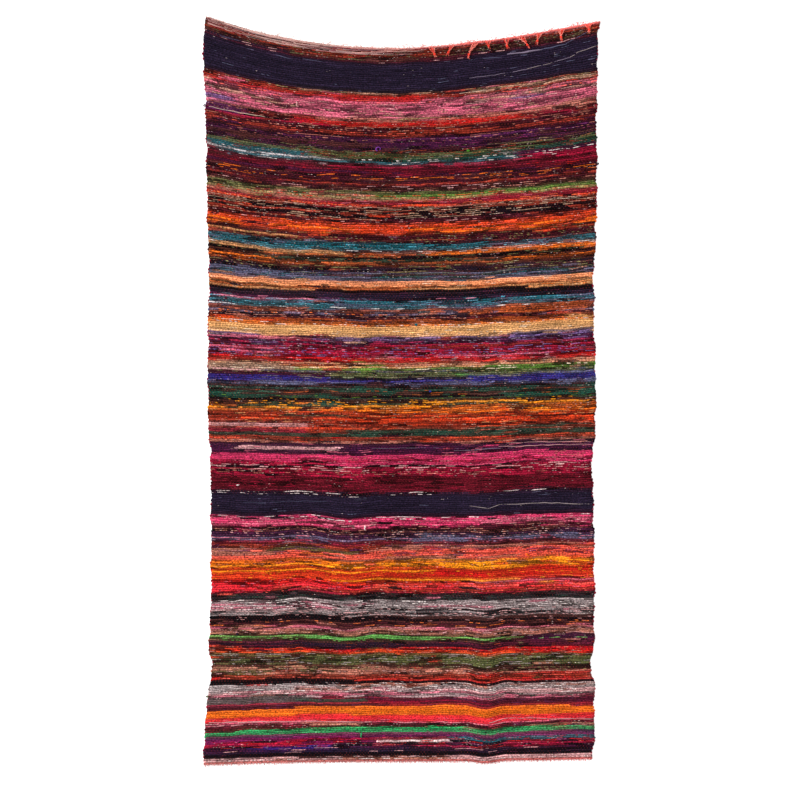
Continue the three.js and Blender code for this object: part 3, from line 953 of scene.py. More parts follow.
class Wire:
    """The output of a node, with arithmetic."""

    def __init__(self, finish, socket):
        self.finish, self.socket = finish, socket

    def math(self, operation, *others):
        values = dict(enumerate((self, *others)))
        return self.finish.node("ShaderNodeMath", {"operation": operation}, values)

    def __add__(self, other):
        return self.math("ADD", other)

    def __sub__(self, other):
        return self.math("SUBTRACT", other)

    def __rsub__(self, other):
        return self.finish.node("ShaderNodeMath", {"operation": "SUBTRACT"}, {0: other, 1: self})

    def __mul__(self, other):
        return self.math("MULTIPLY", other)

    def __truediv__(self, other):
        return self.math("DIVIDE", other)

    def __pow__(self, other):
        return self.math("POWER", other)

    def __lt__(self, other):
        return self.math("LESS_THAN", other)

    def __gt__(self, other):
        return self.math("GREATER_THAN", other)

    def __abs__(self):
        return self.math("ABSOLUTE")

    def floor(self):
        return self.math("FLOOR")

    __radd__ = __add__
    __rmul__ = __mul__


class Finish:
    """A material whose nodes are added by formulas."""

    def __init__(self, name):
        self.material = bpy.data.materials.new(name)
        self.material.use_nodes = True
        self.tree = self.material.node_tree
        self.shader = self.tree.nodes["Principled BSDF"]

    def node(self, kind, settings=None, sockets=None, output=0):
        made = self.tree.nodes.new(kind)
        for key, value in (settings or {}).items():
            setattr(made, key, value)
        for key, value in (sockets or {}).items():
            self.feed(made.inputs[key], value)
        wires = made.outputs
        return Wire(self, wires[output])

    def feed(self, socket, value):
        if isinstance(value, Wire):
            self.tree.links.new(value.socket, socket)
        else:
            socket.default_value = value

    def attribute(self, name, output="Fac"):
        return self.node("ShaderNodeAttribute", {"attribute_name": name}, output=output)

    def vector(self, x, y, z=0.0):
        return self.node("ShaderNodeCombineXYZ", None, {0: x, 1: y, 2: z})

    def parts(self, vector):
        split = self.node("ShaderNodeSeparateXYZ", None, {0: vector})
        return [Wire(self, out) for out in split.socket.node.outputs]

    def chance(self, x, y):
        """An even random number for each pair of whole numbers, and three more as a colour."""
        sockets = {"Vector": self.vector(x, y)}
        wire = self.node("ShaderNodeTexWhiteNoise", {"noise_dimensions": "2D"}, sockets)
        outputs = wire.socket.node.outputs
        return Wire(self, outputs["Value"]), self.parts(Wire(self, outputs["Color"]))

    def noise(self, vector, scale=1.0, detail=2.0):
        sockets = {"Vector": vector, "Scale": scale, "Detail": detail}
        return self.node("ShaderNodeTexNoise", {"noise_dimensions": "2D"}, sockets)

    def blend(self, factor, first, second, way="MIX"):
        """Mix two colours. Way is a blend type such as MIX or MULTIPLY."""
        made = self.tree.nodes.new("ShaderNodeMix")
        made.data_type, made.blend_type = "RGBA", way
        for key, value in ((0, factor), (6, first), (7, second)):
            self.feed(made.inputs[key], value)
        return Wire(self, made.outputs[2])

    def grey(self, value):
        """A number as a colour, to multiply another colour by."""
        return self.node("ShaderNodeCombineColor", None, {0: value, 1: value, 2: value})

    def set(self, **sockets):
        for name, value in sockets.items():
            self.feed(self.shader.inputs[name.replace("_", " ")], value)
        return self.material


def rgba(colour):
    return (*[float(c) for c in colour], 1.0)


# %% [markdown]
# ## The rag finish
#
# Each cell already has its dye. The finish adds what happens inside a row: stretches where the rag
# twists and shows its other side, short printed specks, painted highlight and shade along long folds,
# painted shade in the valleys, and the warp where it crosses over, in a red darkened as painted shade.
# It could all be drawn in a picture, but a formula stays sharp from any distance and needs no file.

# %% Name the numbers of the rag finish
Ramp = namedtuple("Ramp", "start more")
Grain = namedtuple("Grain", "across down detail")
CLUSTERS = Grain(0.03, 0.12, 1.0)
STREAKS = Grain(0.06, 2.2, 3.0)
PATCHES = Grain(0.02, 0.31, 1.0)
FINE_GRAIN = Grain(0.27, 1.5, 2.0)
WRINKLES, WRINKLE_SLANT = Grain(0.55, 5.5, 4.0), 0.9
DASH_SHORTEST, DASH_LONGEST = 4.5, 30.0
DASH_SLANT, DASH_SHIFT = 12.0, 60.0
DASH_MIDDLE, DASH_REACH = Ramp(0.35, 0.3), Ramp(0.13, 0.37)
SPECK_LENGTH, SPECK_SHIFT = 3.0, 9.0
SPECK_MIDDLE, SPECK_REACH = Ramp(0.3, 0.4), Ramp(0.08, 0.18)
CLUSTERING = Ramp(-1.5, 4.0)
PALE_RATE, PALE_FROM = 0.9, 0.12
DARK_FROM = 0.86
# The fold streaks are painted highlight and shade; patches and fine grain are the rag's own uneven tone
FOLD_PAINTED_LIGHT, PATCH_TONE, GRAIN_TONE = Ramp(0.44, 1.12), Ramp(0.72, 0.56), Ramp(-0.3, 2.6)
# Painted shade: each row darkens towards the valleys at its edges
VALLEY_PAINTED_SHADE = Ramp(1.02, -0.7)
WARP_HALF_WIDTH, WARP_SHOWS = 0.2, 0.3
BUSY = 0.05  # share of flecks above which the warp shows strongly
FLECK_COVER, PALE_COVER, WARP_COVER = Ramp(0.65, 0.35), Ramp(0.25, 0.45), Ramp(0.05, 0.27)
DARK_COVER = 0.6
TURNED_RISE, WARP_RISE, VALLEY_FALL = 0.25, 0.5, 0.6
RAG_BUMP = {"Strength": 0.55, "Distance": 0.0007}
RAG_ROUGHNESS = Ramp(0.86, 0.1)
COTTON_GLOSS = 0.08
LENGTH_SEED, WARP_SEED = 3.0, 500.0
# The warp's red, darkened as painted shade of the dip where it crosses the row
WARP_DYE_IN_PAINTED_SHADE = linear("a83c3a")
PALE_DYE = linear("e8d0c8")


# %% Make the rag finish
def ramp(span, wire):
    """A wire from 0 to 1, made to begin at span.start and to end span.more beyond it."""
    return span.start + span.more * wire


def rag_finish():
    f = Finish("rag_weave")
    x, row_at, warp_at = f.parts(f.attribute("thread", "Vector"))
    flecks = f.attribute("fleck_share")
    row = row_at.floor()
    down = row_at - row
    warp = (warp_at + 0.5).floor()
    beside = warp_at - warp
    from_middle = abs(down - 0.5)

    def along_row(grain):
        return f.noise(f.vector(x * grain.across, row_at * grain.down), detail=grain.detail)

    # Stretches where the rag shows its other side: whole dashes, each as tall as it happens to twist
    _, (shift, length, _) = f.chance(row, LENGTH_SEED)
    dash_length = DASH_SHORTEST + (DASH_LONGEST - DASH_SHORTEST) * length * length
    slant = (down - 0.5) * (2 * DASH_SLANT * length - DASH_SLANT)
    dash = ((x + slant) / dash_length + DASH_SHIFT * shift).floor()
    drawn, (tall, high, tint) = f.chance(dash, row)
    inside = abs(down - ramp(DASH_MIDDLE, high)) < ramp(DASH_REACH, tall)
    turned = (drawn < flecks) * inside

    # Short printed specks, lighter or darker than the rag
    clusters = ramp(CLUSTERING, along_row(CLUSTERS))
    speck = (x / SPECK_LENGTH + SPECK_SHIFT * shift).floor()
    printed, (speck_tall, speck_high, speck_tone) = f.chance(speck, row * 2.0 + 1.0)
    in_speck = abs(down - ramp(SPECK_MIDDLE, speck_high)) < ramp(SPECK_REACH, speck_tall)
    pale_speck = (printed < PALE_RATE * clusters * (flecks - PALE_FROM)) * in_speck
    dark_speck = (printed > DARK_FROM) * in_speck * (flecks > QUIET)

    # Long soft folds in the rag as painted highlight and shade, and painted shade in the valleys
    streaks = along_row(STREAKS)
    tone = ramp(FOLD_PAINTED_LIGHT, streaks) * ramp(PATCH_TONE, along_row(PATCHES))
    tone = tone * ramp(GRAIN_TONE, along_row(FINE_GRAIN))
    valley = (from_middle * 2.0) ** 3.0
    shade = tone * ramp(VALLEY_PAINTED_SHADE, valley)

    # The warp shows as a dot wherever it crosses over the row, which is at every other warp. Its red is
    # darkened as painted shade of the dip it lies in
    half = (row + warp) * 0.5
    crossing = (half - half.floor()) > 0.25
    seen, _ = f.chance(warp, row + WARP_SEED)
    on_warp = crossing * (abs(beside) < WARP_HALF_WIDTH) * (from_middle < WARP_SHOWS) * seen

    rag_dye, fleck_dye = f.attribute("rag", "Color"), f.attribute("fleck", "Color")
    colour = f.blend(turned * ramp(FLECK_COVER, tint), rag_dye, fleck_dye)
    colour = f.blend(pale_speck * ramp(PALE_COVER, speck_tone), colour, rgba(PALE_DYE))
    colour = f.blend(dark_speck * DARK_COVER, colour, rgba(DYE["ink"]))
    colour = f.blend(on_warp * ramp(WARP_COVER, flecks > BUSY), colour, rgba(WARP_DYE_IN_PAINTED_SHADE))
    # Painted highlight and shade of folds and valleys, with the rag's uneven tone, multiply the colour
    colour = f.blend(1.0, colour, f.grey(shade), "MULTIPLY")

    slanted_x = x * WRINKLES.across + row_at * WRINKLE_SLANT
    wrinkles = f.noise(f.vector(slanted_x, row_at * WRINKLES.down), detail=WRINKLES.detail)
    height = wrinkles + turned * TURNED_RISE + on_warp * WARP_RISE - valley * VALLEY_FALL
    bump = f.node("ShaderNodeBump", None, {**RAG_BUMP, "Height": height})
    roughness = ramp(RAG_ROUGHNESS, streaks)
    return f.set(Base_Color=colour, Roughness=roughness, Normal=bump, Specular_IOR_Level=COTTON_GLOSS)


rag_material = rag_finish()
print("nodes in the rag finish:", len(rag_material.node_tree.nodes))


# %% Dress the cloth
def dress(piece, material, slot, *nodes):
    """Give a piece its finish, attach it to the root and hide the parts of the model that it stands in for.
    The slot is not used.
    """
    piece.data.materials.append(material)
    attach(piece, "root")
    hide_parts(*nodes)
    return piece


for length_piece in cloth:
    dress(length_piece, rag_material, "rag_weave", "woven_cloth")

# %% [markdown]
# ## Yarn and rag ends
#
# Everything else on the rug is a short length of something round: a warp end, a curl of rag, a knot. One
# helper collects such strands and turns them into a single mesh, so that hundreds of them stay light.
# Each strand is a tube that follows its points, closed at both ends.

# %% Collect strands
STEEP = 0.2  # a strand this near to upright takes its sides from the width of the rug
TINY = 1e-9
FLOOR_CLEARANCE = 0.02
TILE_FILL = 0.9  # how much of its square of the map a strand fills
TUBE_FOOT, TUBE_TALL = 0.08, 0.9
CAP_RADIUS, CAP_MIDDLE, CAP_STEP = 0.02, (0.1, 0.04), (0.5, 0)


def unit(vectors):
    return vectors / (np.linalg.norm(vectors, axis=1, keepdims=True) + TINY)


class Skein:
    """Strands that become one mesh."""

    def __init__(self, sides):
        self.sides = sides
        self.points, self.colours, self.rings = [], [], []

    def lay(self, path, radius, colour, flat=1.0, tip=0.6):
        """Add a strand along path, in millimetres. It narrows to tip, and flat squashes its height."""
        path = np.asarray(path, float)
        ahead = unit(np.gradient(path, axis=0))
        side = np.cross(ahead, (0.0, 0.0, 1.0))
        weak = np.linalg.norm(side, axis=1) < STEEP
        side[weak] = np.cross(ahead[weak], (1.0, 0.0, 0.0))
        side = unit(side)
        above = np.cross(side, ahead)
        angles = (np.arange(self.sides) / self.sides * 2 * math.pi)[None, :, None]
        ring = np.cos(angles) * side[:, None] + flat * np.sin(angles) * above[:, None]
        sizes = (radius * np.linspace(1, tip, len(path)))[:, None, None]
        points = path[:, None] + ring * sizes
        points[..., 2] = np.maximum(points[..., 2], FLOOR_CLEARANCE)
        self.points.append(points.reshape(-1, 3))
        self.rings.append(len(path))
        self.colours.append(colour)

    def mesh(self, name):
        """One piece from all the strands, with a square of the map for each."""
        quads, caps, quad_uv, cap_uv = [], [], [], []
        grid = int(np.ceil(np.sqrt(len(self.rings))))
        size = TILE_FILL / grid
        around = np.arange(self.sides)
        disc = np.stack([np.cos(around), np.sin(around)], -1) * CAP_RADIUS + CAP_MIDDLE
        first = 0
        for n, rings in enumerate(self.rings):
            low = np.array([n % grid, n // grid]) / grid
            r, s = np.meshgrid(np.arange(rings - 1), around, indexing="ij")
            a, b = first + r * self.sides + s, first + r * self.sides + (s + 1) % self.sides
            quads.append(np.stack([a, b, b + self.sides, a + self.sides], -1).reshape(-1, 4))
            left, right = s / self.sides, (s + 1) / self.sides
            foot, top = (k / (rings - 1) * TUBE_TALL + TUBE_FOOT for k in (r, r + 1))
            corners = [(left, foot), (right, foot), (right, top), (left, top)]
            uv = np.stack([np.stack(corner, -1) for corner in corners], 2)
            quad_uv.append(low + size * uv.reshape(-1, 4, 2))
            caps.append(np.stack([first + around[::-1], first + (rings - 1) * self.sides + around]))
            cap_uv.append(low + size * np.stack([disc[::-1], disc + CAP_STEP]))
            first += rings * self.sides
        points = np.concatenate(self.points) + (SHIFT_X, SHIFT_Y, 0)
        tubes = (np.concatenate(quads), np.concatenate(quad_uv))
        ends = (np.concatenate(caps), np.concatenate(cap_uv))
        mesh = make_mesh(name, points * MM, [tubes, ends], flat_groups=(1,))
        colours = np.asarray(self.colours)
        tube_colours = np.repeat(colours, [len(q) for q in quads], 0)
        dyes = np.concatenate([tube_colours, np.repeat(colours, 2, 0)])
        set_values(mesh, "dye", "FLOAT_COLOR", "FACE", dyes)
        piece = bpy.data.objects.new(name, mesh)
        bpy.context.scene.collection.objects.link(piece)
        print(name, "strands:", len(self.rings), "faces:", len(mesh.polygons))
        return piece


# %% [markdown]
# Cotton yarn is matt and slightly hairy. Its finish takes the strand's dye and adds a fine streak in
# object space, so that it needs no coordinates of its own.

# %% Make the yarn finish
YARN_DARKEST = 0.6
YARN_BUMP = {"Strength": 0.5, "Distance": 0.0004}
YARN_ROUGHNESS = Ramp(0.84, 0.12)


def yarn_finish(name, streak_scale, lightest):
    f = Finish(name)
    place_in_rug = f.node("ShaderNodeTexCoord", output="Object")
    sockets = {"Vector": place_in_rug, "Scale": streak_scale, "Detail": 3.0}
    hairs = f.node("ShaderNodeTexNoise", None, sockets)
    tone = YARN_DARKEST + lightest * hairs
    colour = f.blend(1.0, f.attribute("dye", "Color"), f.grey(tone), "MULTIPLY")
    bump = f.node("ShaderNodeBump", None, {**YARN_BUMP, "Height": hairs})
    roughness = ramp(YARN_ROUGHNESS, hairs)
    return f.set(Base_Color=colour, Roughness=roughness, Normal=bump, Specular_IOR_Level=COTTON_GLOSS)


warp_material = yarn_finish("coral_warp", streak_scale=900.0, lightest=0.85)
foot_material = yarn_finish("pink_warp", streak_scale=900.0, lightest=0.85)
scrap_material = yarn_finish("rag_scraps", streak_scale=420.0, lightest=0.9)

# %% [markdown]
# ## The two headings
#
# Past the last row of rag the weaver throws a few rows of plain coral cotton to lock the rags in. They
# are the pale rolled edge of the rug. They are woven by the same function as the cloth, with thin rows
# and little relief. At the top, the row beside the rags is darker, towards oxblood, and the next one
# redder, towards crimson.

# %% Weave the headings
HEADING_RELIEF = Relief(valley=0.9, shoulder=-0.1, over=0.5, lump=0.5)
HEADING_THICKNESS = 3.2
HEADING_WANDER = Wander(17, 0.3)
HEADING_TONE = (0.7, 1.15)
HEADING_FLECKS = 0.2
DARKENING_BESIDE_RAGS, RED_STAIN = (0.5, 1.0), (0.0, 0.7)
PALE_WARP, CORAL_WARP = linear("dcb0a6"), linear("ff8078")
FOOT_WARP, FOOT_PALE = linear("d8706c"), linear("d87c76")


def heading_thickness(along):
    return np.full(np.shape(along), HEADING_THICKNESS)


def heading(name, start, end, rows, left_dye, right_dye):
    """Rows of warp cotton from start to end down the rug, with a dye for the left and one for the right."""
    at_top = start < 0
    beside_rags = -1 if at_top else 0
    wander = HEADING_WANDER.share * uneven(rows + 1, point_x, HEADING_WANDER.spacing)
    lines = np.linspace(start, end, rows + 1)[:, None] + wander
    lines[beside_rags] = end if at_top else start
    blend = smooth(np.clip((cell_x / RUG_WIDTH + 0.5) * 2 - 0.4, 0, 1))[None, :, None]
    dye = mix(left_dye, right_dye, blend) * dice.uniform(*HEADING_TONE, (rows, CELLS, 1))
    if at_top:
        # The row beside the rags is mixed towards dark oxblood, the row after it towards crimson
        dye[beside_rags] = mix(dye[beside_rags], DYE["oxblood"], dice.uniform(*DARKENING_BESIDE_RAGS, (CELLS, 1)))
        dye[1] = mix(dye[1], DYE["crimson"], dice.uniform(*RED_STAIN, (CELLS, 1)))
    flecks = np.broadcast_to(DYE["blush"], dye.shape)
    shares = np.full(dye.shape[:2], HEADING_FLECKS)
    sides = np.repeat(dye[:, None], 3, 1)
    weave = Weave(lines, heading_thickness, sides, flecks, shares, 0, HEADING_RELIEF)
    return woven_piece(name, weave)


top_heading = heading("top_heading", -PARTING - TOP_HEADING, -PARTING, 3, PALE_WARP, CORAL_WARP)
foot_start = CLOTH_LENGTH + PARTING
foot_heading = heading("foot_heading", foot_start, foot_start + FOOT_HEADING, 2, FOOT_PALE, FOOT_WARP)
dress(top_heading, rag_material, "coral_warp", "top_fringe")
dress(foot_heading, rag_material, "pink_warp", "foot_fringe")
print("headings:", len(top_heading.data.polygons), len(foot_heading.data.polygons), "faces")

# %% [markdown]
# ## Cut warp ends
#
# Beyond each heading the warps are cut short. At the foot they lie flat, side by side. At the top they
# have curled up into a fuzzy edge, paler on the left, where the sun or the wash has faded them.

# %% Lay the cut ends
CutEnds = namedtuple("CutEnds", "count length spread lean radius curl")
TOP_ENDS = CutEnds(count=520, length=1.2, spread=1.0, lean=5.0, radius=0.4, curl=1.6)
FOOT_ENDS = CutEnds(count=420, length=3.6, spread=1.6, lean=1.6, radius=0.55, curl=0.8)
HEADING_DYES = {"top": (PALE_WARP, CORAL_WARP), "foot": (FOOT_PALE, FOOT_WARP)}
ROOT_DEPTH = 3  # how far inside the heading an end begins
END_DROOP, END_CLEARANCE = 0.7, 0.5
PALE_UP_TO, DYE_CHANGE, DYE_SCATTER = 0.4, 2.5, 0.3  # as shares of the width
WARP_TONE = (0.75, 1.12)


def warp_dye(end, share_across):
    """The dye of a warp end: pale on the left of each end of the rug, deeper on the right."""
    pale, deep = HEADING_DYES[end]
    scatter = dice.uniform(-DYE_SCATTER, DYE_SCATTER)
    share = np.clip((share_across - PALE_UP_TO) * DYE_CHANGE + scatter, 0, 1)
    return mix(pale, deep, share) * dice.uniform(*WARP_TONE)


def waver(x, wander):
    """One uneven line over the places x."""
    return wander.share * uneven(1, x, wander.spacing)[0]


def cut_ends(end, along, outwards, ends):
    """The short ends of all the warps at one end of the rug."""
    skein = Skein(sides=4)
    t = np.linspace(0, 1, 6)
    for n in range(ends.count):
        share_across = (n + dice.uniform(0.1, 0.9)) / ends.count
        x, y = place(share_across, along)
        length = ends.length + ends.spread * dice.uniform(-1, 1)
        lean = ends.lean * dice.uniform(-1, 1)
        rise = dice.uniform(0.6, HEADING_THICKNESS)
        bend = ends.curl * dice.uniform(-1, 1) * np.sin(math.pi * t)
        outward = length * t - ROOT_DEPTH * (1 - t)
        height = rise * (1 - t) ** END_DROOP + END_CLEARANCE
        path = np.stack([x + lean * t + bend, y + outwards * outward, height], -1)
        skein.lay(path, ends.radius * dice.uniform(0.7, 1.2), warp_dye(end, share_across))
    return skein


# %% Lay stray warps and hairs along the top edge
Wisps = namedtuple("Wisps", "count left width shortest longest inner outer dyed")
WISP_LEFT, WISP_RIGHT = -397, 403
TOP_WISPS = Wisps(70, WISP_LEFT, 800, shortest=25, longest=120, inner=3.2, outer=7.0, dyed=0.0)
LEFT_WISPS = Wisps(170, WISP_LEFT, 430, shortest=20, longest=90, inner=-9, outer=6.0, dyed=0.6)
WISP_DYES = ["brick", "crimson", "smoke", "brown", "blush"]
WISP_WANDER, WISP_DIPS = Wander(22, 0.8), Wander(12, 0.3)
WISP_CLEARANCE, OVER_RAGS = 0.4, 0.5
DROP_START, DROP_LENGTH = 12, 8  # beyond the heading a wisp comes down to the floor
WISP_RADII = (0.35, 0.65)
HAIRS = 150
HAIR_RADIUS, HAIR_HEIGHT = 0.32, 0.6
HAIR_REACH, HAIR_WIDTH, HAIR_CURL = (3, 9), 22, 1.5


def lay_wisps(skein, wisps):
    """Long stray warps that lie along the top edge, one over the other."""
    for _ in range(wisps.count):
        middle = wisps.left + wisps.width * dice.random()
        length = dice.uniform(wisps.shortest, wisps.longest)
        x = np.clip(middle + np.linspace(-0.5, 0.5, 14) * length, WISP_LEFT, WISP_RIGHT)
        along = -dice.uniform(wisps.inner, wisps.outer) + waver(x, WISP_WANDER)
        y = climb(x, np.zeros(x.shape)) - along
        on_heading = HEADING_THICKNESS * np.clip((DROP_START + along) / DROP_LENGTH, 0.1, 1)
        on_rags = thickness(np.clip(along, 0, None)) + OVER_RAGS
        z = np.where(along < 0, on_heading, on_rags) + WISP_CLEARANCE + waver(x, WISP_DIPS)
        dye = warp_dye("top", middle / RUG_WIDTH + 0.5)
        if dice.random() < wisps.dyed:
            dye = DYE[WISP_DYES[dice.integers(len(WISP_DYES))]] * dice.uniform(0.6, 1.0)
        skein.lay(np.stack([x, y, z], -1), dice.uniform(*WISP_RADII), dye)


def lay_hairs(skein, count):
    """Thin curls that have sprung out beyond the top edge."""
    t = np.linspace(0, 1, 12)
    for _ in range(count):
        share_across = dice.uniform(0.03, 0.98) ** 0.7
        x, y = place(share_across, -TOP_HEADING)
        reach, width = dice.uniform(*HAIR_REACH), dice.uniform(-HAIR_WIDTH, HAIR_WIDTH)
        path_x = x + width * t + HAIR_CURL * np.sin(t * dice.uniform(3, 9))
        path_y = y + reach * np.sin(math.pi * t * dice.uniform(0.6, 0.95))
        path = np.stack([path_x, path_y, np.full(t.shape, HAIR_HEIGHT)], -1)
        skein.lay(path, HAIR_RADIUS, warp_dye("top", share_across))


top_skein = cut_ends("top", -PARTING - TOP_HEADING, 1, TOP_ENDS)
lay_wisps(top_skein, TOP_WISPS)
lay_wisps(top_skein, LEFT_WISPS)
lay_hairs(top_skein, HAIRS)
top_ends = top_skein.mesh("top_warp_ends")
foot_skein = cut_ends("foot", foot_start + FOOT_HEADING, -1, FOOT_ENDS)
foot_ends = foot_skein.mesh("foot_warp_ends")
dress(top_ends, warp_material, "coral_warp", "top_fringe")
dress(foot_ends, foot_material, "pink_warp", "foot_fringe")

# %% [markdown]
# ## Knotted bunches
#
# On the right half the warp ends are longer. They were knotted in bunches, and the bunches have flopped
# over onto the face. Each bunch has a few legs of kinked yarn that leave the heading some way apart, a
# knot where they meet, and a short frayed tail beyond it.

# %% Tie the bunches
Bunch = namedtuple("Bunch", "x length lean legs")
BUNCHES = [
    Bunch(64, 22, 8, 4),
    Bunch(105, 20, -8, 3),
    Bunch(152, 31, -15, 4),
    Bunch(178, 15, 4, 3),
    Bunch(217, 22, 3, 4),
    Bunch(247, 27, 18, 5),
    Bunch(284, 21, -3, 5),
    Bunch(329, 22, 2, 5),
    Bunch(384, 17, 5, 9),
]
LEG_SPREAD = 7.5
LEG_ROOT = -4.0  # legs leave the heading this far before the first row
LEG_KINK, LEG_WANDER, TAIL_KINK = 1.7, 0.5, 1.5
MORE_TAILS, TAIL_SPREAD_X, TAIL_SPREAD_Y = 4, 2.2, 2.4
TAIL_RISE, TAIL_CLEARANCE = 1.5, 0.3
KNOT_SHARE = 0.78  # where the knot sits, as a share of the bunch
ARCH = 3.0
FACE_CLEARANCE = 1.4
YARN_RADIUS = 0.78
KNOT_RADIUS = 1.05
KNOT_TURNS, KNOT_POINTS = 2, 16
KNOT_WIDE, KNOT_LONG, KNOT_TALL = 1.7, 1.3, 2.2
DEEP_CORAL, LIGHT_CORAL = linear("f8402f"), linear("ffa090")


def face_height(x, along):
    return lift(x, along) + thickness(np.clip(along, 0, CLOTH_LENGTH)) + FACE_CLEARANCE


def kinks(count, size):
    """Sideways kinks along a yarn that was bent over and under while it was woven."""
    steps = np.where(np.arange(count) % 2, 1.0, -1.0) * dice.uniform(0.3, 1.0, count) * size
    steps[[0, -1]] = 0
    return steps


def on_face(x, y_above):
    """How far down the rug a place on its face lies, from its height above the dip."""
    return climb(x, np.zeros(np.shape(x))) - y_above


def above_face(x, y):
    """The height of a yarn that lies on the face, or beyond the first row, at (x, y)."""
    return face_height(x, np.clip(on_face(x, y), 0, None))


def yarn_dye():
    return mix(DEEP_CORAL, LIGHT_CORAL, dice.random() ** 1.3) * dice.uniform(0.85, 1.1)


def wound_yarn(x, y, z):
    """The line of a yarn wound into a knot that begins at (x, y, z)."""
    a = np.linspace(0, KNOT_TURNS * 2 * math.pi, KNOT_POINTS)
    rise = np.linspace(0, KNOT_TALL, KNOT_POINTS)
    return np.stack([x + KNOT_WIDE * np.cos(a), y + KNOT_LONG * np.sin(a), z + rise], -1)


def tie_bunches():
    skein = Skein(sides=5)
    for b in BUNCHES:
        knot_along = b.length * KNOT_SHARE - TOP_HEADING
        tip_along = b.length - TOP_HEADING
        knot_x, knot_y = place(across_of(b.x + b.lean * KNOT_SHARE, knot_along), knot_along)
        tip_x, tip_y = place(across_of(b.x + b.lean, tip_along), tip_along)
        for leg in range(b.legs):
            t = np.linspace(0, 1, 9)
            aside = LEG_SPREAD * mix(-1, 1, (leg + 0.5) / b.legs) + dice.uniform(-1, 1)
            root_x, root_y = place(across_of(b.x + aside, LEG_ROOT), LEG_ROOT)
            x = mix(root_x, knot_x, smooth(t) * 0.5 + t * 0.5) + kinks(len(t), LEG_KINK)
            y = mix(root_y, knot_y, t) + kinks(len(t), LEG_WANDER)
            arch = ARCH * dice.uniform(0.2, 1) * np.sin(math.pi * t)
            z = (above_face(x, y) + arch) * smooth(np.clip(0.25 + t * 4, 0, 1))
            dye = yarn_dye()
            skein.lay(np.stack([x, y, z], -1), YARN_RADIUS * dice.uniform(0.75, 1.1), dye, tip=0.9)
        knot = wound_yarn(knot_x, knot_y, face_height(knot_x, knot_along))
        skein.lay(knot, KNOT_RADIUS, DEEP_CORAL, tip=0.9)
        for _ in range(b.legs + MORE_TAILS):
            t = np.linspace(0, 1, 7)
            end_x = tip_x + dice.normal(0, TAIL_SPREAD_X)
            end_y = tip_y + dice.normal(0, TAIL_SPREAD_Y)
            x = mix(knot_x, end_x, t) + kinks(len(t), TAIL_KINK)
            y = mix(knot_y, end_y, t)
            z = above_face(x, y) + TAIL_RISE * (1 - t) * dice.uniform(0, 1) + TAIL_CLEARANCE
            dye = yarn_dye()
            skein.lay(np.stack([x, y, z], -1), YARN_RADIUS * dice.uniform(0.5, 0.9), dye, tip=0.5)
    return skein.mesh("warp_bunches")


dress(tie_bunches(), warp_material, "coral_warp", "top_fringe")

# %% [markdown]
# ## Turns at the selvedges
#
# At each side the rag turns round the last warp and goes back into the next row. Those turns are what
# makes the edge bumpy. Each is a fat loop in the dye of its row, and some have taken on the red of the
# warp.

# %% Turn the rags at the edges
TURN_RADIUS = 1.5
TURN_LEAST, TURN_MORE = -0.7, 2.2
TURN_ROOT = 2.2  # how far inside the edge a turn begins and ends
TURN_HEIGHT, TURN_TILT = 0.5, 0.1  # as shares of the cloth's thickness
DYED_TURNS, TURN_STAIN = 0.45, 0.7  # the share of turns that took the red, and how strongly


def selvedge_turns():
    skein = Skein(sides=6)
    t = np.linspace(0, 1, 7)
    swing = np.sin(math.pi * t)
    for row in range(1, ROWS - 1):
        side = 1 if row % 2 else -1
        column = -1 if side > 0 else 0
        first, second = ((valleys[row + k, column] + valleys[row + k + 1, column]) / 2 for k in (0, 1))
        along = mix(first, second, t)
        reach = (TURN_LEAST + TURN_MORE * dice.random() ** 2) * swing - TURN_ROOT * (1 - swing)
        edge_x, edge_y = place(np.full(t.shape, 1.0 if side > 0 else 0.0), along)
        x = edge_x + side * reach
        z = lift(edge_x, along) + thickness(along) * (TURN_HEIGHT + TURN_TILT * np.cos(math.pi * t))
        dye = rag[row, column] * dice.uniform(0.8, 1.1)
        if dice.random() < DYED_TURNS:
            dye = mix(dye, DYE["crimson"], TURN_STAIN)
        skein.lay(np.stack([x, edge_y, z], -1), TURN_RADIUS * dice.uniform(0.8, 1.15), dye, tip=1.0)
    return skein.mesh("selvedge_turns")


dress(selvedge_turns(), scrap_material, "rag_weave", "woven_cloth")

# %% [markdown]
# ## Curls, loops and knots
#
# Where rags were joined, ends and loops stand out of the face. There are not many, but the eye finds
# them, so each is placed one by one: how far across, how far down, which dye, and how large.

# %% Place the rag ends
Scrap = namedtuple("Scrap", "kind x along dye size lean")
SCRAPS = [
    Scrap("curl", -214, 121, "blush", 11, -70),
    Scrap("loop", -47, 202, "violet", 11, 20),
    Scrap("knot", 138, 212, "grass", 7, 0),
    Scrap("knot", 404, 262, "ink", 7, 0),
    Scrap("loop", 398, 192, "maroon", 7, 80),
    Scrap("knot", -403, 152, "plum", 8, 0),
    Scrap("knot", -398, 1322, "olive", 6, 0),
    Scrap("knot", -97, 415, "ink", 6, 0),
    Scrap("knot", 31, 563, "teal", 7, 10),
    Scrap("curl", -335, 895, "white", 5, 20),
    Scrap("knot", -255, 957, "ink", 6, 0),
    Scrap("curl", -74, 977, "white", 9, -80),
    Scrap("knot", -337, 1200, "navy", 6, 0),
    Scrap("curl", -82, 1405, "emerald", 9, -85),
    Scrap("knot", 60, 700, "royal", 5, 0),
    Scrap("curl", 210, 512, "sea", 8, 15),
    Scrap("knot", -150, 640, "rose", 5, 20),
    Scrap("curl", 260, 1040, "orange", 9, -20),
    Scrap("curl", 90, 1195, "blush", 8, 30),
    Scrap("knot", -360, 520, "maroon", 6, 0),
]
KNOT_ROUNDS, LOOP_ROUNDS = 1.6, 1.7 / 2  # how far round each is wound
SCRAP_RADIUS, RADIUS_BY_SIZE, SCRAP_FLAT = 1.0, 0.04, 0.7


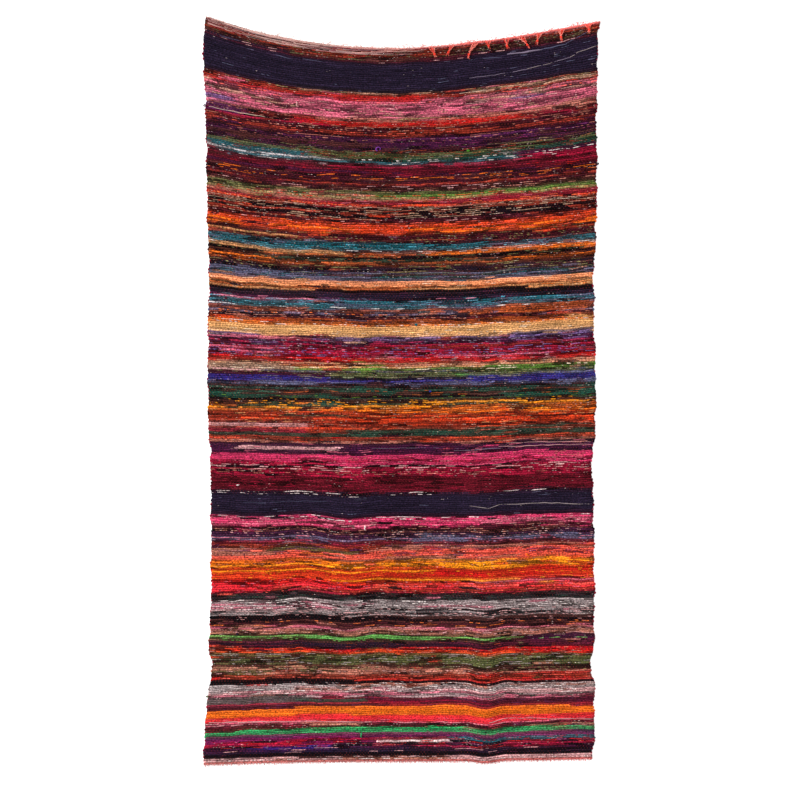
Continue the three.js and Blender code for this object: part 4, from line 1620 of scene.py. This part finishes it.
def scrap_path(scrap):
    """The line of one scrap, across, down and up from the face, about its own middle."""
    t = np.linspace(0, 1, 14)
    size, turn = scrap.size, math.radians(scrap.lean)
    swing = np.sin(math.pi * t)
    if scrap.kind == "knot":
        a = t * 2 * math.pi * KNOT_ROUNDS
        x, y = 0.28 * size * np.cos(a) * (1 + 0.3 * t), 0.2 * size * np.sin(a)
        z = 1.0 + 1.6 * swing
    elif scrap.kind == "loop":
        a = (t - 0.5) * 2 * LOOP_ROUNDS * math.pi
        x, y = 0.42 * size * np.sin(a), 0.3 * size * np.cos(a)
        z = 0.8 + 2.4 * swing
    else:
        x, y = size * (t - 0.5), 0.12 * size * np.sin(t * 7)
        z = 0.8 + 1.8 * swing
    line = np.stack([x, y, z], -1)
    spin = np.array([[math.cos(turn), -math.sin(turn)], [math.sin(turn), math.cos(turn)]])
    line[:, :2] = line[:, :2] @ spin.T
    return line


def place_scraps():
    skein = Skein(sides=6)
    for scrap in SCRAPS:
        line = scrap_path(scrap)
        x = scrap.x + line[:, 0]
        y = climb(np.asarray(float(scrap.x)), np.asarray(float(scrap.along))) - scrap.along + line[:, 1]
        z = lift(x, np.full(x.shape, float(scrap.along))) + thickness(scrap.along) + line[:, 2]
        radius = SCRAP_RADIUS + RADIUS_BY_SIZE * scrap.size
        skein.lay(np.stack([x, y, z], -1), radius, DYE[scrap.dye], flat=SCRAP_FLAT)
    return skein.mesh("rag_scraps")


dress(place_scraps(), scrap_material, "rag_weave", "woven_cloth")

# %% [markdown]
# A few thin pale threads have worked loose and lie along the dark bands. They follow the rows, so they
# are laid by distance down the rug, which may change a little from one end to the other.

# %% Lay the loose threads
Thread = namedtuple("Thread", "from_x from_along to_x to_along radius dye")
THREADS = [
    Thread(140, 66, 191, 65.5, 0.6, "lilac"),
    Thread(188, 65.5, 262, 62.5, 0.75, "lilac"),
    Thread(259, 62.5, 311, 58.5, 0.8, "smoke"),
    Thread(309, 58.5, 348, 54, 0.8, "lilac"),
    Thread(346, 54, 362, 48, 0.7, "smoke"),
    Thread(360, 48, 402, 42, 0.8, "smoke"),
    Thread(218, 27.5, 290, 29.5, 1.9, "lilac"),
    Thread(286, 29, 341, 26, 1.1, "slate"),
    Thread(339, 26, 383, 10.5, 0.9, "slate"),
    Thread(140, 29.5, 208, 31.5, 0.8, "slate"),
    Thread(244, 72.4, 271, 72.6, 0.7, "slate"),
    Thread(120, 95, 178, 94, 0.8, "cream"),
    Thread(-395, 152, -270, 153, 0.8, "cream"),
    Thread(-262, 30, -222, 33, 0.8, "slate"),
    Thread(-202, 30, -160, 30, 0.6, "slate"),
    Thread(-372, 21, -330, 20, 0.6, "slate"),
    Thread(140, 936, 178, 942, 0.9, "smoke"),
    Thread(178, 942, 204, 934, 0.9, "smoke"),
    Thread(204, 934, 392, 938, 0.95, "smoke"),
    Thread(-330, 930, -150, 927, 0.45, "slate"),
    Thread(216, 809, 391, 811, 0.8, "blush"),
    Thread(200, 816, 391, 817, 0.8, "blush"),
    Thread(109, 820, 237, 819, 0.6, "lilac"),
    Thread(-60, 817, 120, 815, 0.5, "lilac"),
    Thread(-395, 1372, -200, 1376, 1.4, "blush"),
    Thread(-200, 1376, -60, 1379, 1.0, "blush"),
    Thread(181, 1376, 222, 1373, 1.0, "blush"),
    Thread(222, 1373, 393, 1379, 1.0, "blush"),
]
THREAD_WANDER, THREAD_DIPS, THREAD_SWELL = Wander(14, 0.7), Wander(9, 0.5), Wander(20, 0.3)
THREAD_STEP, THREAD_CLEARANCE = 4, 0.4
THREAD_TIP, THREAD_LEAN = 0.45, 0.8  # shares of the radius at the tips, and between swells


def lay_threads():
    skein = Skein(sides=4)
    for thread in THREADS:
        count = max(int(abs(thread.to_x - thread.from_x) / THREAD_STEP), 6)
        t = np.linspace(0, 1, count)
        x = mix(thread.from_x, thread.to_x, t)
        along = mix(thread.from_along, thread.to_along, t) + waver(x, THREAD_WANDER)
        y = climb(x, along) - along
        z = lift(x, along) + thickness(along) + THREAD_CLEARANCE + waver(x, THREAD_DIPS)
        taper = THREAD_TIP + (1 - THREAD_TIP) * np.sin(math.pi * t) ** 0.5
        width = thread.radius * taper * (THREAD_LEAN + waver(x, THREAD_SWELL))
        skein.lay(np.stack([x, y, z], -1), width, DYE[thread.dye], tip=1.0)
    return skein.mesh("loose_threads")


dress(lay_threads(), scrap_material, "rag_weave", "woven_cloth")

# %% [markdown]
# ## What the cloth is cut to
#
# Each woven length is a sheet, laid on the floor, and its flat size is the width of the loom by its share
# of the length.

every_mm = np.arange(0.0, CLOTH_LENGTH)
mean_width = float(np.mean(at("right", every_mm) - at("left", every_mm)))
print("each length:", round(mean_width), "by", round(CLOTH_LENGTH / LENGTHS, 1), "mm")

# %% [markdown]
# ## Floor and light
#
# The rug is shown against white. A pale floor that glows a little and a pale sky give that, and a low
# light from the left draws the soft ridges, which a light from above would lose. Each lamp is a sun, so
# the floor is lit evenly: `compass` is where it stands, from the right edge round to the left, and
# `height` how far up.

# %% Add the floor
FLOOR_SIZE = 60.0
FLOOR_GLOW = 0.5  # lightens the shadow that the rug's edge throws
FLOOR_ROUGHNESS = 0.9
FLOOR_PAINT, WHITE = (0.96, 0.96, 0.96, 1.0), (1.0, 1.0, 1.0, 1.0)


def add_floor():
    half = FLOOR_SIZE / 2
    corners = [(-half, -half, 0), (half, -half, 0), (half, half, 0), (-half, half, 0)]
    mesh = bpy.data.meshes.new("floor")
    mesh.from_pydata(corners, [], [(0, 1, 2, 3)])
    floor = bpy.data.objects.new("floor", mesh)
    paint = Finish("floor_paint").set(
        Base_Color=FLOOR_PAINT,
        Roughness=FLOOR_ROUGHNESS,
        Emission_Color=WHITE,
        Emission_Strength=FLOOR_GLOW,
    )
    mesh.materials.append(paint)
    bpy.context.scene.collection.objects.link(floor)
    return floor


floor = add_floor()

# %% Add the lights
Lamp = namedtuple("Lamp", "name compass height strength spread")
LAMPS = [
    Lamp("key", 160, 27, 3.05, 9),
    Lamp("top", 85, 48, 0.45, 20),
]
SKY = 0.56


def add_lights():
    for lamp in LAMPS:
        light = bpy.data.lights.new(lamp.name, "SUN")
        light.energy, light.angle = lamp.strength, math.radians(lamp.spread)
        holder = bpy.data.objects.new(lamp.name, light)
        holder.rotation_euler = (math.radians(90 - lamp.height), 0.0, math.radians(lamp.compass + 90))
        bpy.context.scene.collection.objects.link(holder)
    world = bpy.data.worlds.new("sky")
    world.use_nodes = True
    background = world.node_tree.nodes["Background"]
    background.inputs["Color"].default_value = WHITE
    background.inputs["Strength"].default_value = SKY
    bpy.context.scene.world = world
    bpy.context.scene.view_settings.view_transform = "Standard"


add_lights()
print(len(LAMPS), "lamps and a pale sky")
